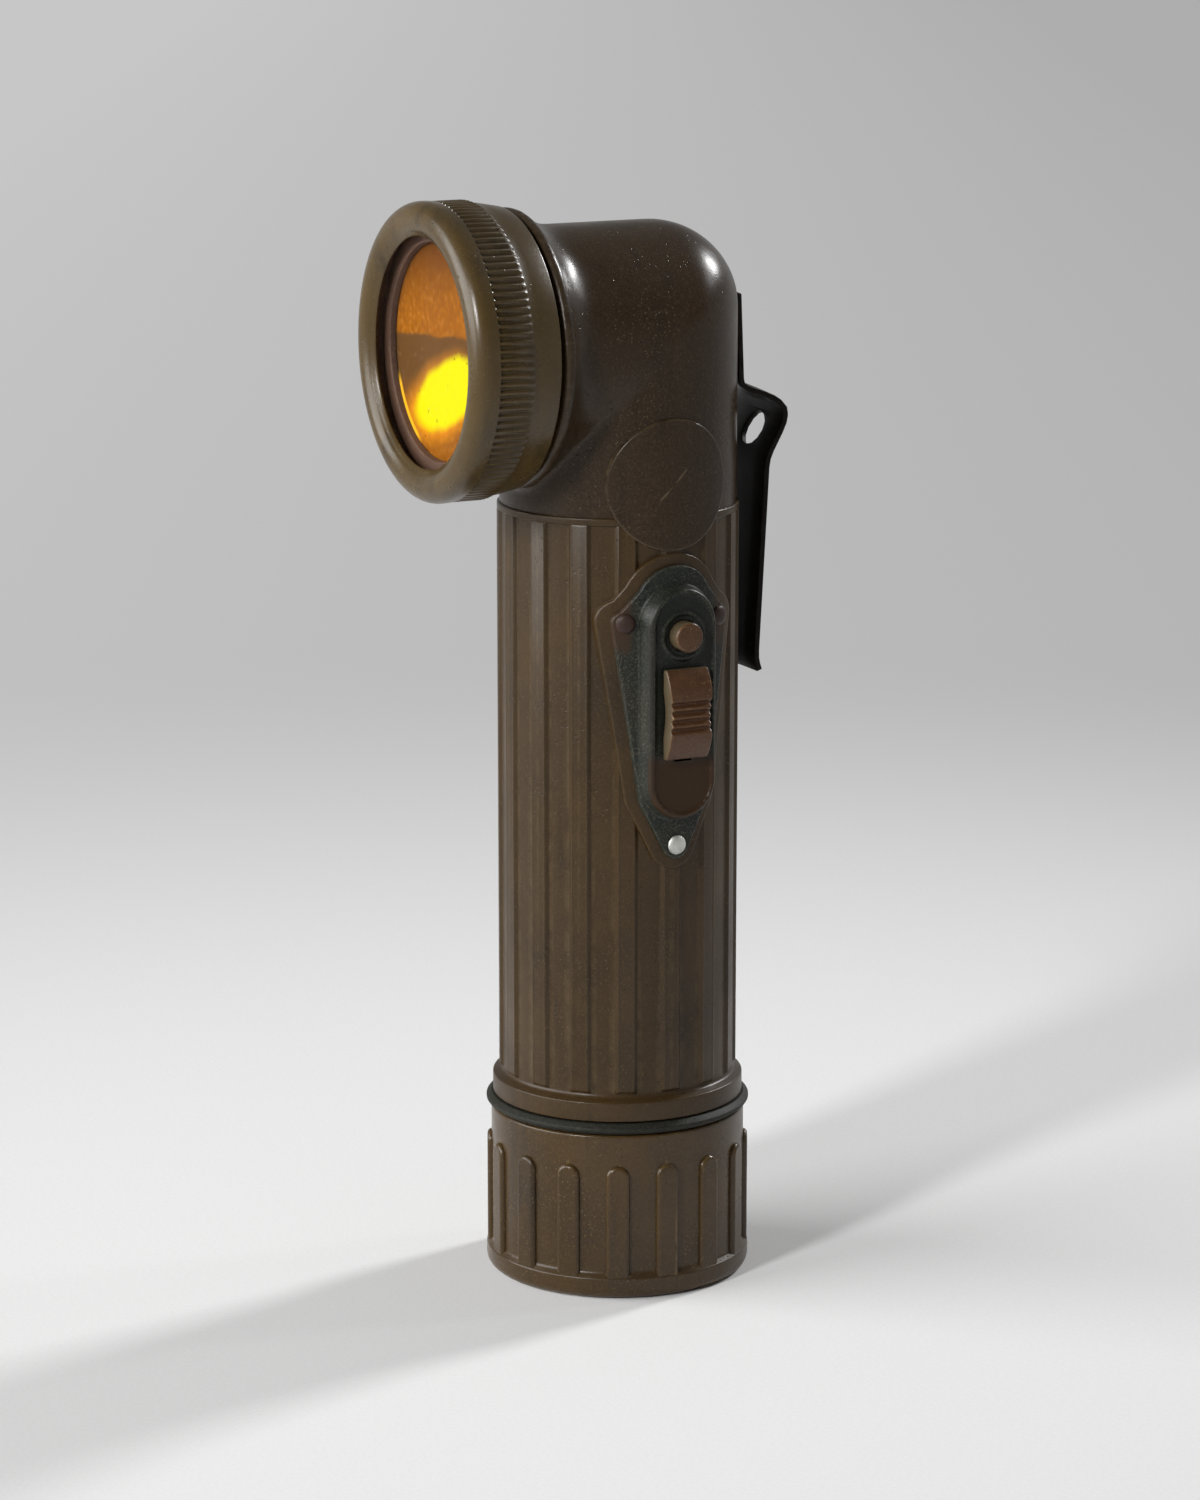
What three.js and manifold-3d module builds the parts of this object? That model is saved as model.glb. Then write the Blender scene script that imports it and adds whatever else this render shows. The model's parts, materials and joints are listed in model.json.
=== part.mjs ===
// A right-angle hand flashlight for two large round dry cells.
// Millimetres, +Z up. The origin is on the barrel's axis, at the foot of the end cap.
// The lens looks along -Y, the switch is on +X and the belt clip is on +Y.
import * as THREE from 'three';
import { mergeVertices } from 'three/addons/utils/BufferGeometryUtils.js';
import Module from 'manifold-3d';

const wasm = await Module();
wasm.setup();

// Fit between pieces, and facets
const clearance = 0.3;
const overrun = 1;
const mergeDistance = 0.0001;
const roundSteps = 48;
const innerSteps = 24;
const smallSteps = 12;
const arcSteps = 2;
const curveSegments = 4;
const bossSegments = 16;
const ribSegments = 2;

// Dry cells, two of them one on the other
const cellRadius = 17.1;
const cellCanLength = 59.2;
const cellTerminalRadius = 4.75;
const cellTerminalFlange = 7;
const cellTerminalHeight = 1.7;
const cellTerminalSheet = 0.5;

// End cap, a moulded cup with grip ribs
const capWall = 1.8;
const capHeight = 29;
const capFloor = 2.6;
const capFootRound = 2.9;
const capBandProud = 0.9;
const capRibProud = 0.7;
const capBandHeight = 4.1;
const capRibCount = 16;
const capRibWidth = 4.5;
const capRibTop = 23.6;
const capRibClocking = 18.6;
const capRibBevel = 0.45;
const capLedge = 0.4;
const capEdge = 0.5;

// Sealing gasket between cap and case
const gasketProud = 0.9;
const gasketThickness = 1.7;

// Barrel of the case, with its threaded mouth and foot flange
const cellSlack = 1.3;
const mouthHeight = 12;
const mouthWall = 1.4;
const footWall = 3.2;
const footTop = 34.9;
const footShoulder = 1.5;
const panelWall = 1.55;
const ribProud = 0.55;
const ribWidth = 3.2;
const ribCount = 16;
const ribBevel = 0.5;
const ribLowEnd = 35.7;
const seamBelowHead = 26.9;
const seamRim = 1.2;
const seamStep = 0.2;

// Right-angle head of the case
const headShell = 1.7;
const headAboveCells = 25.5;
const cornerRadius = 14;
const flareStart = 12.5;
const flareEnd = 19.6;
const flareCurve = 2.2;
const flangeProud = 3.2;
const flangeFront = 21;
const flangeEdge = 0.5;
const headThreadProud = 1.4;
const headThreadEnd = 30.6;
const headMouthWall = 1.9;
const headMouthStart = 18.6;

// Round boss over the seam, left bare
const bossRadius = 11;
const bossBelowHead = 21.6;
const bossProud = 0.65;

// Pad that the switch plate lies on
const padProud = 0.4;
const padMargin = 1.9;
const padReach = 10;

// Switch plate, a steel pressing with a raised oval tray
const plateThickness = 0.8;
const plateTipBelowTray = 11.1;
const plateTipRadius = 2.4;
const plateTipLean = 30;
const plateKneeBelowTray = 3.8;
const plateKneeHalfWidth = 6.3;
const plateEarAboveButton = 2;
const plateEarOffset = 8.7;
const plateEarRadius = 2;
const plateEarStart = -8;
const plateEarEnd = 70;
const plateArchAboveTray = 2.6;
const plateArchRadius = 7;
const plateArchStart = 25;
const trayHalfWidth = 6;
const trayPastSlide = 6;
const trayPastButton = 1.8;
const trayProud = 4.1;
const trayFlank = 1.3;
const trayDrop = 3;
const trayDepth = 0.4;
const trayRim = 0.7;
const trayWall = 0.8;

// Rivets
const rivetHeadRadius = 1.65;
const rivetHeadHeight = 0.8;
const rivetShankRadius = 1.1;
const rivetEndSetOut = 0.4;
const clipRivetHeadRadius = 2.4;
const clipRivetHeadHeight = 1.1;
const clipRivetShankRadius = 1.5;
const clipRivetPitch = 6;
const clipRivetsAboveHead = 0.2;

// Belt clip, one bent strip of spring steel
const clipThickness = 1;
const clipHalfWidth = 8.5;
const clipTopAboveHead = 7.4;
const clipPlateDrop = 8.2;
const clipShoulderDrop = 10.6;
const clipShoulderProud = 6.8;
const clipBulgeHighDrop = 12.2;
const clipBulgeLowDrop = 14.2;
const clipBulgeProud = 8;
const clipWaistDrop = 20.4;
const clipWaistProud = 4.6;
const clipTipDrop = 57.2;
const clipTipProud = 2.7;
const clipTipFlare = 0.7;
const clipTipFlareLength = 2.2;
const clipBend = 1.6;
const clipBendLimitShare = 0.45;
const clipCornerLength = 3.4;
const clipCornerInset = 3.2;
const clipHoleRadius = 3.1;
const clipHoleDrop = 16.8;

// Slide of the switch, a moulded thumb piece on a metal shoe
const slideTravel = 6;
const slideBelowSeam = 32.3;
const slideLength = 15.2;
const slideHalfWidth = 3.9;
const slideProud = 3.1;
const slideDip = 0.7;
const slideDipLength = 7.2;
const slideCorner = 1.4;
const slideBevel = 0.4;
const slideGrooves = 4;
const slideGroovePitch = 1.5;
const slideGrooveDepth = 0.4;
const slideNeckHalfWidth = 1.3;
const slideNeckLength = 4;
const shoeThickness = 0.8;
const shoeHalfWidth = 4.3;
const shoeLength = 12;
const bowLength = 9;
const bowHalfWidth = 2;
const bowThickness = 0.3;

// Push button of the switch
const buttonTravel = 1.4;
const buttonGap = 1.8;
const buttonRadius = 2.5;
const buttonProud = 2.2;
const buttonCrown = 0.4;
const buttonFlangeRadius = 3.6;
const buttonFlange = 0.5;
const buttonStemRadius = 1.2;
const springBladeRadius = 3.4;
const springBladeThickness = 0.25;

// Switch base in its pocket behind the plate, with terminals and eyelets
const baseSetOut = 0.5;
const baseThickness = 0.8;
const baseHalfWidth = 5.2;
const windowHalfWidth = 4.3;
const baseInsetLow = 1.2;
const baseInsetHigh = 1.6;
const terminalThickness = 0.3;
const terminalFootDrop = 3.8;
const terminalHeadRise = 2.4;
const contactLap = 0.8;
const contactBreak = 1.4;
const terminalHalfWidth = 3;
const terminalArmInside = 2.2;
const terminalArmOutside = 4.2;
const terminalHeadInside = 0.6;
const eyeletRadius = 1.2;
const eyeletShankRadius = 0.7;
const eyeletHead = 0.3;
const eyeletHoleRadius = 1;
const eyeletAboveFoot = 2.4;
const eyeletAboveBow = 2.6;
const eyeletMargin = 2.2;

// Brass strips of the circuit
const stripThickness = 0.4;
const stripHalfWidth = 2.2;
const stripInset = 0.65;
const stripBendStart = 1;
const stripBendLength = 1.8;
const stripFootInset = 0.4;
const leadHalfWidth = 1.6;
const leadSide = 2.3;
const leadInset = 0.9;
const leadBendStart = 4.1;
const leadThickness = 0.35;
const centreLeafReach = 0.6;
const centreLeafAboveHead = 4.1;
const centreLeafHalfWidth = 3;
const centreFootLength = 6;
const centreBend = 2;

// Lamp holder, shell and lamp
const holderBack = 5;
const holderFront = 9;
const holderHole = 5.8;
const holderBlockHalfWidth = 5;
const holderBlockDrop = 15.9;
const holderBlockTopDrop = 6.5;
const shellBore = 5;
const shellRadius = 5.5;
const shellBack = 1.5;
const shellFront = 13.4;
const shellFlangeRadius = 8.4;
const shellFlange = 0.6;
const lampBaseRadius = 4.6;
const lampFlangeRadius = 6.4;
const lampFlange = 0.6;
const lampBaseLength = 11.2;
const lampTipRadius = 1.6;
const lampSolderRadius = 2.1;
const lampGlassRadius = 5.4;
const lampGlassNeck = 4.2;
const lampGlassLength = 15;

// Reflector and the discs in front of it
const reflectorInset = 0.5;
const reflectorBowlSlack = 1;
const reflectorDepth = 15.6;
const reflectorNeckRadius = 5.9;
const reflectorSheet = 0.6;
const reflectorWallReach = 0.96;
const reflectorNeckLength = 2.2;
const discSlack = 0.5;
const stackGap = 0.2;
const filterThickness = 0.9;
const spacerThickness = 0.9;
const spacerWidth = 3.8;
const lensThickness = 1.5;
const lensEdge = 0.3;

// Bezel ring with its knurled band
const bezelGap = 0.8;
const bezelRearWall = 1.7;
const bezelEdge = 0.4;
const knurlSetOut = 5.2;
const knurlLength = 6.4;
const knurlWall = 3;
const knurlDepth = 0.55;
const knurlCount = 114;
const bezelNoseRadius = 2.85;
const bezelNoseAboveLip = 2.2;
const bezelLipLap = 2.1;
const bezelLipThickness = 0.5;

// Conical spring and contact cup in the end cap
const springWireRadius = 0.7;
const springBaseRadius = 13;
const springTopRadius = 7.5;
const springRise = 8.1;
const springTurns = 4;
const springStepsPerTurn = 9;
const springSides = 6;
const cupSheet = 0.4;
const cupSlack = 0.5;
const cupBead = 0.6;
const capRivetHeadRadius = 3.2;
const capRivetHead = 0.6;
const capRivetCrownRadius = 1.9;
const capRivetShankRadius = 1.4;
const capRivetEnd = 0.9;

// Radii, heights and reaches that follow from the sizes above
const boreRadius = cellRadius + cellSlack;
const mouthRadius = boreRadius + mouthWall;
const footRadius = boreRadius + footWall;
const panelRadius = boreRadius + panelWall;
const ribRadius = panelRadius + ribProud;
const headRadius = boreRadius + headShell;
const flangeRadius = headRadius + flangeProud;
const headThreadRadius = headRadius + headThreadProud;
const headMouthRadius = headThreadRadius - headMouthWall;
const capBore = mouthRadius + clearance;
const capRadius = capBore + capWall;
const capBandRadius = capRadius + capBandProud;
const capRibRadius = capRadius + capRibProud;
const gasketRadius = capRadius + gasketProud;
const cupRadius = capBore - cupSlack;
const clipShoulderReach = headRadius + clipShoulderProud;
const clipBulgeReach = headRadius + clipBulgeProud;
const clipWaistReach = headRadius + clipWaistProud;
const clipTipReach = headRadius + clipTipProud;
const trayFace = ribRadius + trayProud;
const baseBack = boreRadius + baseSetOut;
const stripReach = boreRadius - stripInset;
const leadReach = boreRadius - leadInset;
const stripFoot = mouthRadius - stripFootInset;
const holderRadius = boreRadius - clearance;
const rivetEnd = boreRadius + rivetEndSetOut;
const bezelBore = headThreadRadius + clearance;
const bezelRear = flangeFront + bezelGap;
const bezelRearRadius = bezelBore + bezelRearWall;
const knurlRadius = bezelBore + knurlWall;
const knurlRear = bezelRear + knurlSetOut;
const knurlFront = knurlRear + knurlLength;
const discRadius = bezelBore - discSlack;
const reflectorRadius = discRadius - reflectorInset;
const reflectorBowlRadius = headMouthRadius - reflectorBowlSlack;
const spacerBore = discRadius - spacerWidth;
const bezelLipRadius = discRadius - bezelLipLap;
const gasketLow = capHeight + clearance;
const gasketTop = gasketLow + gasketThickness;
const footLow = gasketTop + clearance;
const cupFloor = capFloor + clearance;
const cupTop = mouthHeight - stripThickness - 2 * clearance;
const springLow = cupFloor + cupSheet + clearance + springWireRadius;
const cellLow = springLow + springRise + springWireRadius + clearance;
const cellStackStep = cellCanLength + cellTerminalHeight + 2 * clearance;
const cellStackTop = cellLow + 2 * cellStackStep - clearance;
const headHeight = cellStackTop + headAboveCells;
const seamHeight = headHeight - seamBelowHead;
const bossHeight = headHeight - bossBelowHead;
const cornerPivot = headRadius - cornerRadius;
const cornerPivotHeight = headHeight + cornerPivot;
const clipInside = headRadius + clearance;
const clipTop = headHeight + clipTopAboveHead;
const clipPlateEnd = headHeight - clipPlateDrop;
const clipShoulderHeight = headHeight - clipShoulderDrop;
const clipBulgeHigh = headHeight - clipBulgeHighDrop;
const clipBulgeLow = headHeight - clipBulgeLowDrop;
const clipWaistHeight = headHeight - clipWaistDrop;
const clipTipHeight = headHeight - clipTipDrop;
const clipHoleHeight = headHeight - clipHoleDrop;
const clipRivetHigh = headHeight + clipRivetsAboveHead + clipRivetPitch / 2;
const clipRivetLow = clipRivetHigh - clipRivetPitch;
const slideHeight = seamHeight - slideBelowSeam;
const slideOffHeight = slideHeight - slideTravel;
const buttonHeight = slideHeight + slideLength / 2 + buttonGap + buttonFlangeRadius;
const trayLow = slideOffHeight - trayPastSlide;
const trayHigh = buttonHeight + trayPastButton;
const plateTipHeight = trayLow - plateTipBelowTray;
const plateKneeHeight = trayLow - plateKneeBelowTray;
const plateEarHeight = buttonHeight + plateEarAboveButton;
const plateArchHeight = trayHigh + plateArchAboveTray;
const padRadius = ribRadius + padProud;
const plateInside = padRadius + clearance;
const plateOutside = plateInside + plateThickness;
const trayFloorTop = trayFace - trayDepth;
const trayFloorBack = trayFloorTop - trayWall;
const trayBore = trayHalfWidth - trayRim;
const slotHalfWidth = slideNeckHalfWidth + clearance;
const slotHigh = slideHeight + slideNeckLength / 2 + clearance;
const slotLow = slideOffHeight - slideNeckLength / 2 - clearance;
const baseLow = trayLow + baseInsetLow;
const baseHigh = trayHigh - baseInsetHigh;
const baseFace = baseBack + baseThickness;
const terminalBack = baseFace + clearance;
const terminalFace = terminalBack + terminalThickness;
const terminalFootHeight = baseLow - terminalFootDrop;
const terminalFootTop = slideHeight - bowLength / 2 + contactLap;
const terminalHeadStart = slideOffHeight + bowLength / 2 + contactBreak;
const terminalHeadHeight = buttonHeight + terminalHeadRise;
const eyeletLowHeight = terminalFootHeight + eyeletAboveFoot;
const eyeletHighHeight = slideHeight + bowLength / 2 + eyeletAboveBow;
const stripTop = eyeletLowHeight + eyeletMargin;
const stripBendHigh = eyeletLowHeight - stripBendStart;
const stripBendLow = stripBendHigh - stripBendLength;
const leadStart = eyeletHighHeight - eyeletMargin;
const leadBendLow = eyeletHighHeight + leadBendStart;
const leadBendHigh = leadBendLow + stripBendLength;
const centreLeafTop = headHeight + centreLeafAboveHead;
const holderBlockLow = headHeight - holderBlockDrop;
const holderBlockHigh = headHeight - holderBlockTopDrop;
const shoeFace = trayFloorBack - clearance;
const shoeBack = shoeFace - shoeThickness;
const knobBack = trayFloorTop + clearance;
const reflectorBack = headThreadEnd + clearance;
const reflectorFront = reflectorBack + reflectorSheet;
const filterBack = reflectorFront + stackGap;
const spacerBack = filterBack + filterThickness + stackGap;
const lensBack = spacerBack + spacerThickness + stackGap;
const lipBack = lensBack + lensThickness + stackGap;
const bezelNoseFront = lipBack + bezelNoseAboveLip;
const reflectorApex = reflectorFront - reflectorDepth;
const focalLength = reflectorBowlRadius ** 2 / (4 * reflectorDepth);
const neckReach = reflectorApex + reflectorNeckRadius ** 2 / (4 * focalLength);
const neckBack = neckReach - reflectorNeckLength;
const lampFlangeFront = neckBack - clearance;
const lampFlangeBack = lampFlangeFront - lampFlange;

const degrees = THREE.MathUtils.degToRad;
const alongX = new THREE.Vector3(1, 0, 0);
const alongY = new THREE.Vector3(0, 1, 0);
const alongZ = new THREE.Vector3(0, 0, 1);

// Closed mesh with shared corners, no flat-out triangles, and faces that point out
function closed(geometry) {
  const bare = new THREE.BufferGeometry();
  bare.setAttribute('position', geometry.getAttribute('position').clone());
  if (geometry.index) bare.setIndex(geometry.index.clone());
  const merged = mergeVertices(bare, mergeDistance);
  const all = Array.from(merged.index.array);
  const kept = [];
  for (let i = 0; i < all.length; i += 3) {
    const [a, b, c] = all.slice(i, i + 3);
    if (a !== b && b !== c && c !== a) kept.push(a, b, c);
  }
  merged.setIndex(enclosedVolume(merged, kept) < 0 ? kept.reverse() : kept);
  return merged;
}

function enclosedVolume(geometry, index) {
  const corners = geometry.getAttribute('position');
  const [a, b, c] = [new THREE.Vector3(), new THREE.Vector3(), new THREE.Vector3()];
  let sum = 0;
  for (let i = 0; i < index.length; i += 3) {
    a.fromBufferAttribute(corners, index[i]);
    b.fromBufferAttribute(corners, index[i + 1]);
    c.fromBufferAttribute(corners, index[i + 2]);
    sum += a.dot(b.cross(c));
  }
  return sum / 6;
}

function solid(geometry) {
  const mesh = closed(geometry);
  return new wasm.Manifold(new wasm.Mesh({
    numProp: 3,
    vertProperties: Float32Array.from(mesh.getAttribute('position').array),
    triVerts: Uint32Array.from(mesh.index.array),
  }));
}

function joined(first, ...others) {
  return others.reduce((sum, other) => sum.add(solid(other)), solid(first));
}

function cut(body, ...cutters) {
  return cutters.reduce((rest, cutter) => rest.subtract(solid(cutter)), body);
}

function meshOf(body) {
  const { vertProperties, triVerts } = body.getMesh();
  const geometry = new THREE.BufferGeometry();
  geometry.setAttribute('position', new THREE.BufferAttribute(Float32Array.from(vertProperties), 3));
  geometry.setIndex(Array.from(triVerts));
  return geometry;
}

// Turned piece from [radius, height] points, standing on the barrel's axis
function turned(profile, steps = roundSteps) {
  const points = profile.map(([radius, height]) => new THREE.Vector2(radius, height));
  return new THREE.LatheGeometry([...points, points[0]], steps).rotateX(Math.PI / 2);
}

// Turned piece from [radius, reach] points, lying on the head's axis
function turnedOnHead(profile, steps = roundSteps) {
  return turned(profile, steps).rotateX(Math.PI / 2).translate(0, 0, headHeight);
}

// Turned piece from [radius, reach] points, standing out from the barrel's axis
function turnedOutward(profile, angle, height, steps = smallSteps) {
  return turned(profile, steps).rotateY(Math.PI / 2).rotateZ(degrees(angle)).translate(0, 0, height);
}

// Points of a rounded corner, from one angle to another in degrees
function corner(radius, height, round, from, to, steps = arcSteps) {
  return Array.from({ length: steps + 1 }, (_, i) => {
    const angle = degrees(from + (to - from) * i / steps);
    return [radius + round * Math.cos(angle), height + round * Math.sin(angle)];
  });
}

// Outline in the (Y, Z) plane, pushed along +X from one reach to another
function pushedOut(shape, from, to, options = {}) {
  const depth = to - from;
  const settings = { depth, curveSegments, bevelEnabled: false, ...options };
  const geometry = new THREE.ExtrudeGeometry(shape, settings);
  geometry.applyMatrix4(new THREE.Matrix4().makeBasis(alongY, alongZ, alongX));
  return geometry.translate(from, 0, 0);
}

// Outline in the (X, Z) plane, pushed along Y from one side to the other
function pushedAcross(shape, from, to, options = {}) {
  const depth = to - from;
  const settings = { depth, curveSegments, bevelEnabled: false, ...options };
  const geometry = new THREE.ExtrudeGeometry(shape, settings);
  geometry.applyMatrix4(new THREE.Matrix4().makeBasis(alongX, alongZ, alongY.clone().negate()));
  return geometry.translate(0, to, 0);
}

function box(low, high) {
  const size = high.map((value, i) => value - low[i]);
  const middle = high.map((value, i) => (value + low[i]) / 2);
  return new THREE.BoxGeometry(...size).translate(...middle);
}

// Straight-sided oval with round ends, between two end centres
function oval(halfWidth, low, high) {
  const shape = new THREE.Shape();
  shape.absarc(0, high, halfWidth, 0, Math.PI, false);
  shape.absarc(0, low, halfWidth, Math.PI, 2 * Math.PI, false);
  return shape;
}

// Outline of a bent strip: the points of its middle line, thickened to both sides
function stripShape(points, thickness) {
  const line = points.map(([x, y]) => new THREE.Vector2(x, y));
  const side = (i) => {
    const before = line[Math.max(i - 1, 0)];
    const after = line[Math.min(i + 1, line.length - 1)];
    const into = line[i].clone().sub(before).normalize();
    const out = after.clone().sub(line[i]).normalize();
    const along = into.clone().add(out).normalize();
    const straight = Math.max(along.dot(into), along.dot(out));
    return new THREE.Vector2(-along.y, along.x).multiplyScalar(thickness / 2 / straight);
  };
  const left = line.map((point, i) => point.clone().add(side(i)));
  const right = line.map((point, i) => point.clone().sub(side(i)));
  return new THREE.Shape([...left, ...right.reverse()]);
}

// Closed thick sheet from two grids of points, one for each face
function thickSheet(front, back) {
  const rows = front.length;
  const columns = front[0].length;
  const points = [...front.flat(), ...back.flat()];
  const at = (face, row, column) => (face * rows + row) * columns + column;
  const index = [];
  const quad = (a, b, c, d) => index.push(a, b, c, a, c, d);
  for (let i = 0; i < rows - 1; i += 1) {
    for (let j = 0; j < columns - 1; j += 1) {
      quad(at(0, i, j), at(0, i, j + 1), at(0, i + 1, j + 1), at(0, i + 1, j));
      quad(at(1, i, j), at(1, i + 1, j), at(1, i + 1, j + 1), at(1, i, j + 1));
    }
    quad(at(0, i + 1, 0), at(1, i + 1, 0), at(1, i, 0), at(0, i, 0));
    quad(at(0, i, columns - 1), at(1, i, columns - 1), at(1, i + 1, columns - 1), at(0, i + 1, columns - 1));
  }
  for (let j = 0; j < columns - 1; j += 1) {
    quad(at(0, 0, j), at(1, 0, j), at(1, 0, j + 1), at(0, 0, j + 1));
    quad(at(0, rows - 1, j + 1), at(1, rows - 1, j + 1), at(1, rows - 1, j), at(0, rows - 1, j));
  }
  return new THREE.BufferGeometry().setFromPoints(points).setIndex(index);
}

// Grip rib with a round upper end, or both ends round, standing on a turned wall
function rib(width, low, high, inside, outside, bevel, roundLow) {
  const shape = new THREE.Shape();
  const half = width / 2;
  if (roundLow) shape.absarc(0, low + half, half, Math.PI, 2 * Math.PI, false);
  else shape.moveTo(-half, low).lineTo(half, low);
  if (roundLow) shape.lineTo(half, high).lineTo(-half, high);
  else shape.absarc(0, high - half, half, 0, Math.PI, false);
  const options = {
    curveSegments: ribSegments, bevelEnabled: true, bevelSegments: 1,
    bevelSize: bevel, bevelOffset: -bevel, bevelThickness: outside - inside,
  };
  return pushedOut(shape, inside - overrun, inside, options);
}

// Round bar that turns from the barrel into the head, with a full round corner at the back
function elbow(radius, low, reach, steps) {
  const upright = turned([[0, low], [radius, low], [radius, headHeight], [0, headHeight]], steps);
  const level = turnedOnHead([[0, 0], [radius, 0], [radius, reach], [0, reach]], steps);
  return joined(upright, level).add(crossing(radius, steps));
}

// Where the two bars cross: their common part, its sharp back corner swapped for the round one
function crossing(radius, steps) {
  const [low, high] = [headHeight - radius, headHeight + radius];
  const upright = solid(turned([[0, low], [radius, low], [radius, high], [0, high]], steps));
  const level = solid(turnedOnHead([[0, -radius], [radius, -radius], [radius, radius],
    [0, radius]], steps));
  const outside = radius + overrun;
  const sharp = box([-outside, cornerPivot, cornerPivotHeight], [outside, outside, high + overrun]);
  return cut(upright.intersect(level), sharp).add(solid(elbowCorner(radius, steps)));
}

function elbowCorner(radius, steps) {
  const halfTurn = Math.acos(cornerPivot / radius);
  const step = 2 * Math.PI / steps;
  const whole = Math.floor(halfTurn / step);
  const angles = [-halfTurn];
  for (let i = -whole; i <= whole; i += 1) angles.push(i * step);
  angles.push(halfTurn);
  const points = angles.map((angle) => new THREE.Vector2(
    Math.max(radius * Math.cos(angle) - cornerPivot, 0), radius * Math.sin(angle)));
  points[0].x = 0;
  points.at(-1).x = 0;
  const lemon = new THREE.LatheGeometry(points, steps / 2).rotateZ(-Math.PI / 2);
  return lemon.translate(0, cornerPivot, cornerPivotHeight);
}

// Outline of the switch plate, or of its pad with a margin all round
function plateOutline(margin) {
  const tip = plateTipRadius + margin;
  const lean = degrees(plateTipLean);
  const ear = plateEarRadius + margin;
  const [earStart, earEnd] = [degrees(plateEarStart), degrees(plateEarEnd)];
  const arch = plateArchRadius + margin;
  const archStart = degrees(plateArchStart);
  const shape = new THREE.Shape();
  shape.absarc(0, plateTipHeight, tip, Math.PI + lean, 2 * Math.PI - lean, false);
  shape.lineTo(plateKneeHalfWidth + margin, plateKneeHeight);
  shape.absarc(plateEarOffset, plateEarHeight, ear, earStart, earEnd, false);
  shape.absarc(0, plateArchHeight, arch, archStart, Math.PI - archStart, false);
  shape.absarc(-plateEarOffset, plateEarHeight, ear, Math.PI - earEnd, Math.PI - earStart, false);
  shape.lineTo(-plateKneeHalfWidth - margin, plateKneeHeight);
  return shape;
}

// The part of a block that lies inside a cylinder round the barrel's axis
function wrapped(block, radius, low, high) {
  return solid(block).intersect(solid(turned([[0, low], [radius, low], [radius, high], [0, high]])));
}

const earAngle = THREE.MathUtils.radToDeg(Math.asin(plateEarOffset / plateOutside));
const plateRivets = { left: [-earAngle, plateEarHeight], right: [earAngle, plateEarHeight],
  lower: [0, plateTipHeight] };
const clipAngle = 90;

function rivetHole(angle, height, radius, from, to) {
  return turnedOutward([[0, from], [radius, from], [radius, to], [0, to]], angle, height);
}

// The case is one moulding: threaded mouth, ribbed barrel, and right-angle head with its flare
function barrelWall() {
  return turned([
    [0, mouthHeight], [mouthRadius, mouthHeight], [mouthRadius, footLow], [footRadius, footLow],
    ...corner(footRadius - footShoulder, footTop - footShoulder, footShoulder, 0, 90),
    [panelRadius, footTop],
    [panelRadius, seamHeight - seamRim - seamStep], [ribRadius, seamHeight - seamRim],
    [ribRadius, seamHeight], [headRadius, seamHeight], [headRadius, headHeight], [0, headHeight],
  ]);
}

function headWall() {
  const flare = [];
  const flareStepCount = 4;
  for (let i = 0; i <= flareStepCount; i += 1) {
    const share = i / flareStepCount;
    const swell = (flangeRadius - headRadius) * share ** flareCurve;
    flare.push([headRadius + swell, flareStart + (flareEnd - flareStart) * share]);
  }
  return turnedOnHead([
    [0, 0], [headRadius, 0], ...flare,
    ...corner(flangeRadius - flangeEdge, flangeFront - flangeEdge, flangeEdge, 0, 90, 1),
    [headThreadRadius, flangeFront], [headThreadRadius, headThreadEnd], [0, headThreadEnd],
  ]);
}

function caseShell() {
  const ribs = [];
  for (let i = 0; i < ribCount; i += 1) {
    const bar = rib(ribWidth, ribLowEnd, seamHeight - seamRim, panelRadius, ribRadius, ribBevel, true);
    ribs.push(bar.rotateZ(i * 2 * Math.PI / ribCount));
  }
  const bossBar = new THREE.Shape();
  bossBar.absarc(0, bossHeight, bossRadius, 0, 2 * Math.PI, false);
  const bossOutside = headRadius + bossProud;
  const boss = wrapped(pushedOut(bossBar, padReach, flangeRadius + overrun,
    { curveSegments: bossSegments }), bossOutside, mouthHeight, headHeight);
  const pad = wrapped(pushedOut(plateOutline(padMargin), padReach, flangeRadius + overrun),
    padRadius, mouthHeight, headHeight);
  const outside = joined(barrelWall(), headWall(), ...ribs).add(crossing(headRadius, roundSteps))
    .add(boss).add(pad);
  const hollow = elbow(boreRadius, mouthHeight - overrun, headThreadEnd + overrun, innerSteps);
  const headMouth = turnedOnHead([[0, headMouthStart], [headMouthRadius, headMouthStart],
    [headMouthRadius, headThreadEnd + overrun], [0, headThreadEnd + overrun]]);
  const pocket = pushedOut(oval(baseHalfWidth + clearance, baseLow, baseHigh),
    baseBack - clearance, padRadius + overrun);
  const opening = pushedOut(oval(windowHalfWidth, baseLow, baseHigh), padReach, padRadius + overrun);
  const holes = Object.values(plateRivets).map(([angle, height]) => rivetHole(
    angle, height, rivetShankRadius + clearance, boreRadius - overrun, padRadius + overrun));
  const clipHoles = [clipRivetLow, clipRivetHigh].map((height) => rivetHole(
    clipAngle, height, clipRivetShankRadius + clearance, boreRadius - overrun, headRadius + overrun));
  return meshOf(cut(outside.subtract(hollow), headMouth, pocket, opening, ...holes, ...clipHoles));
}

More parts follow.
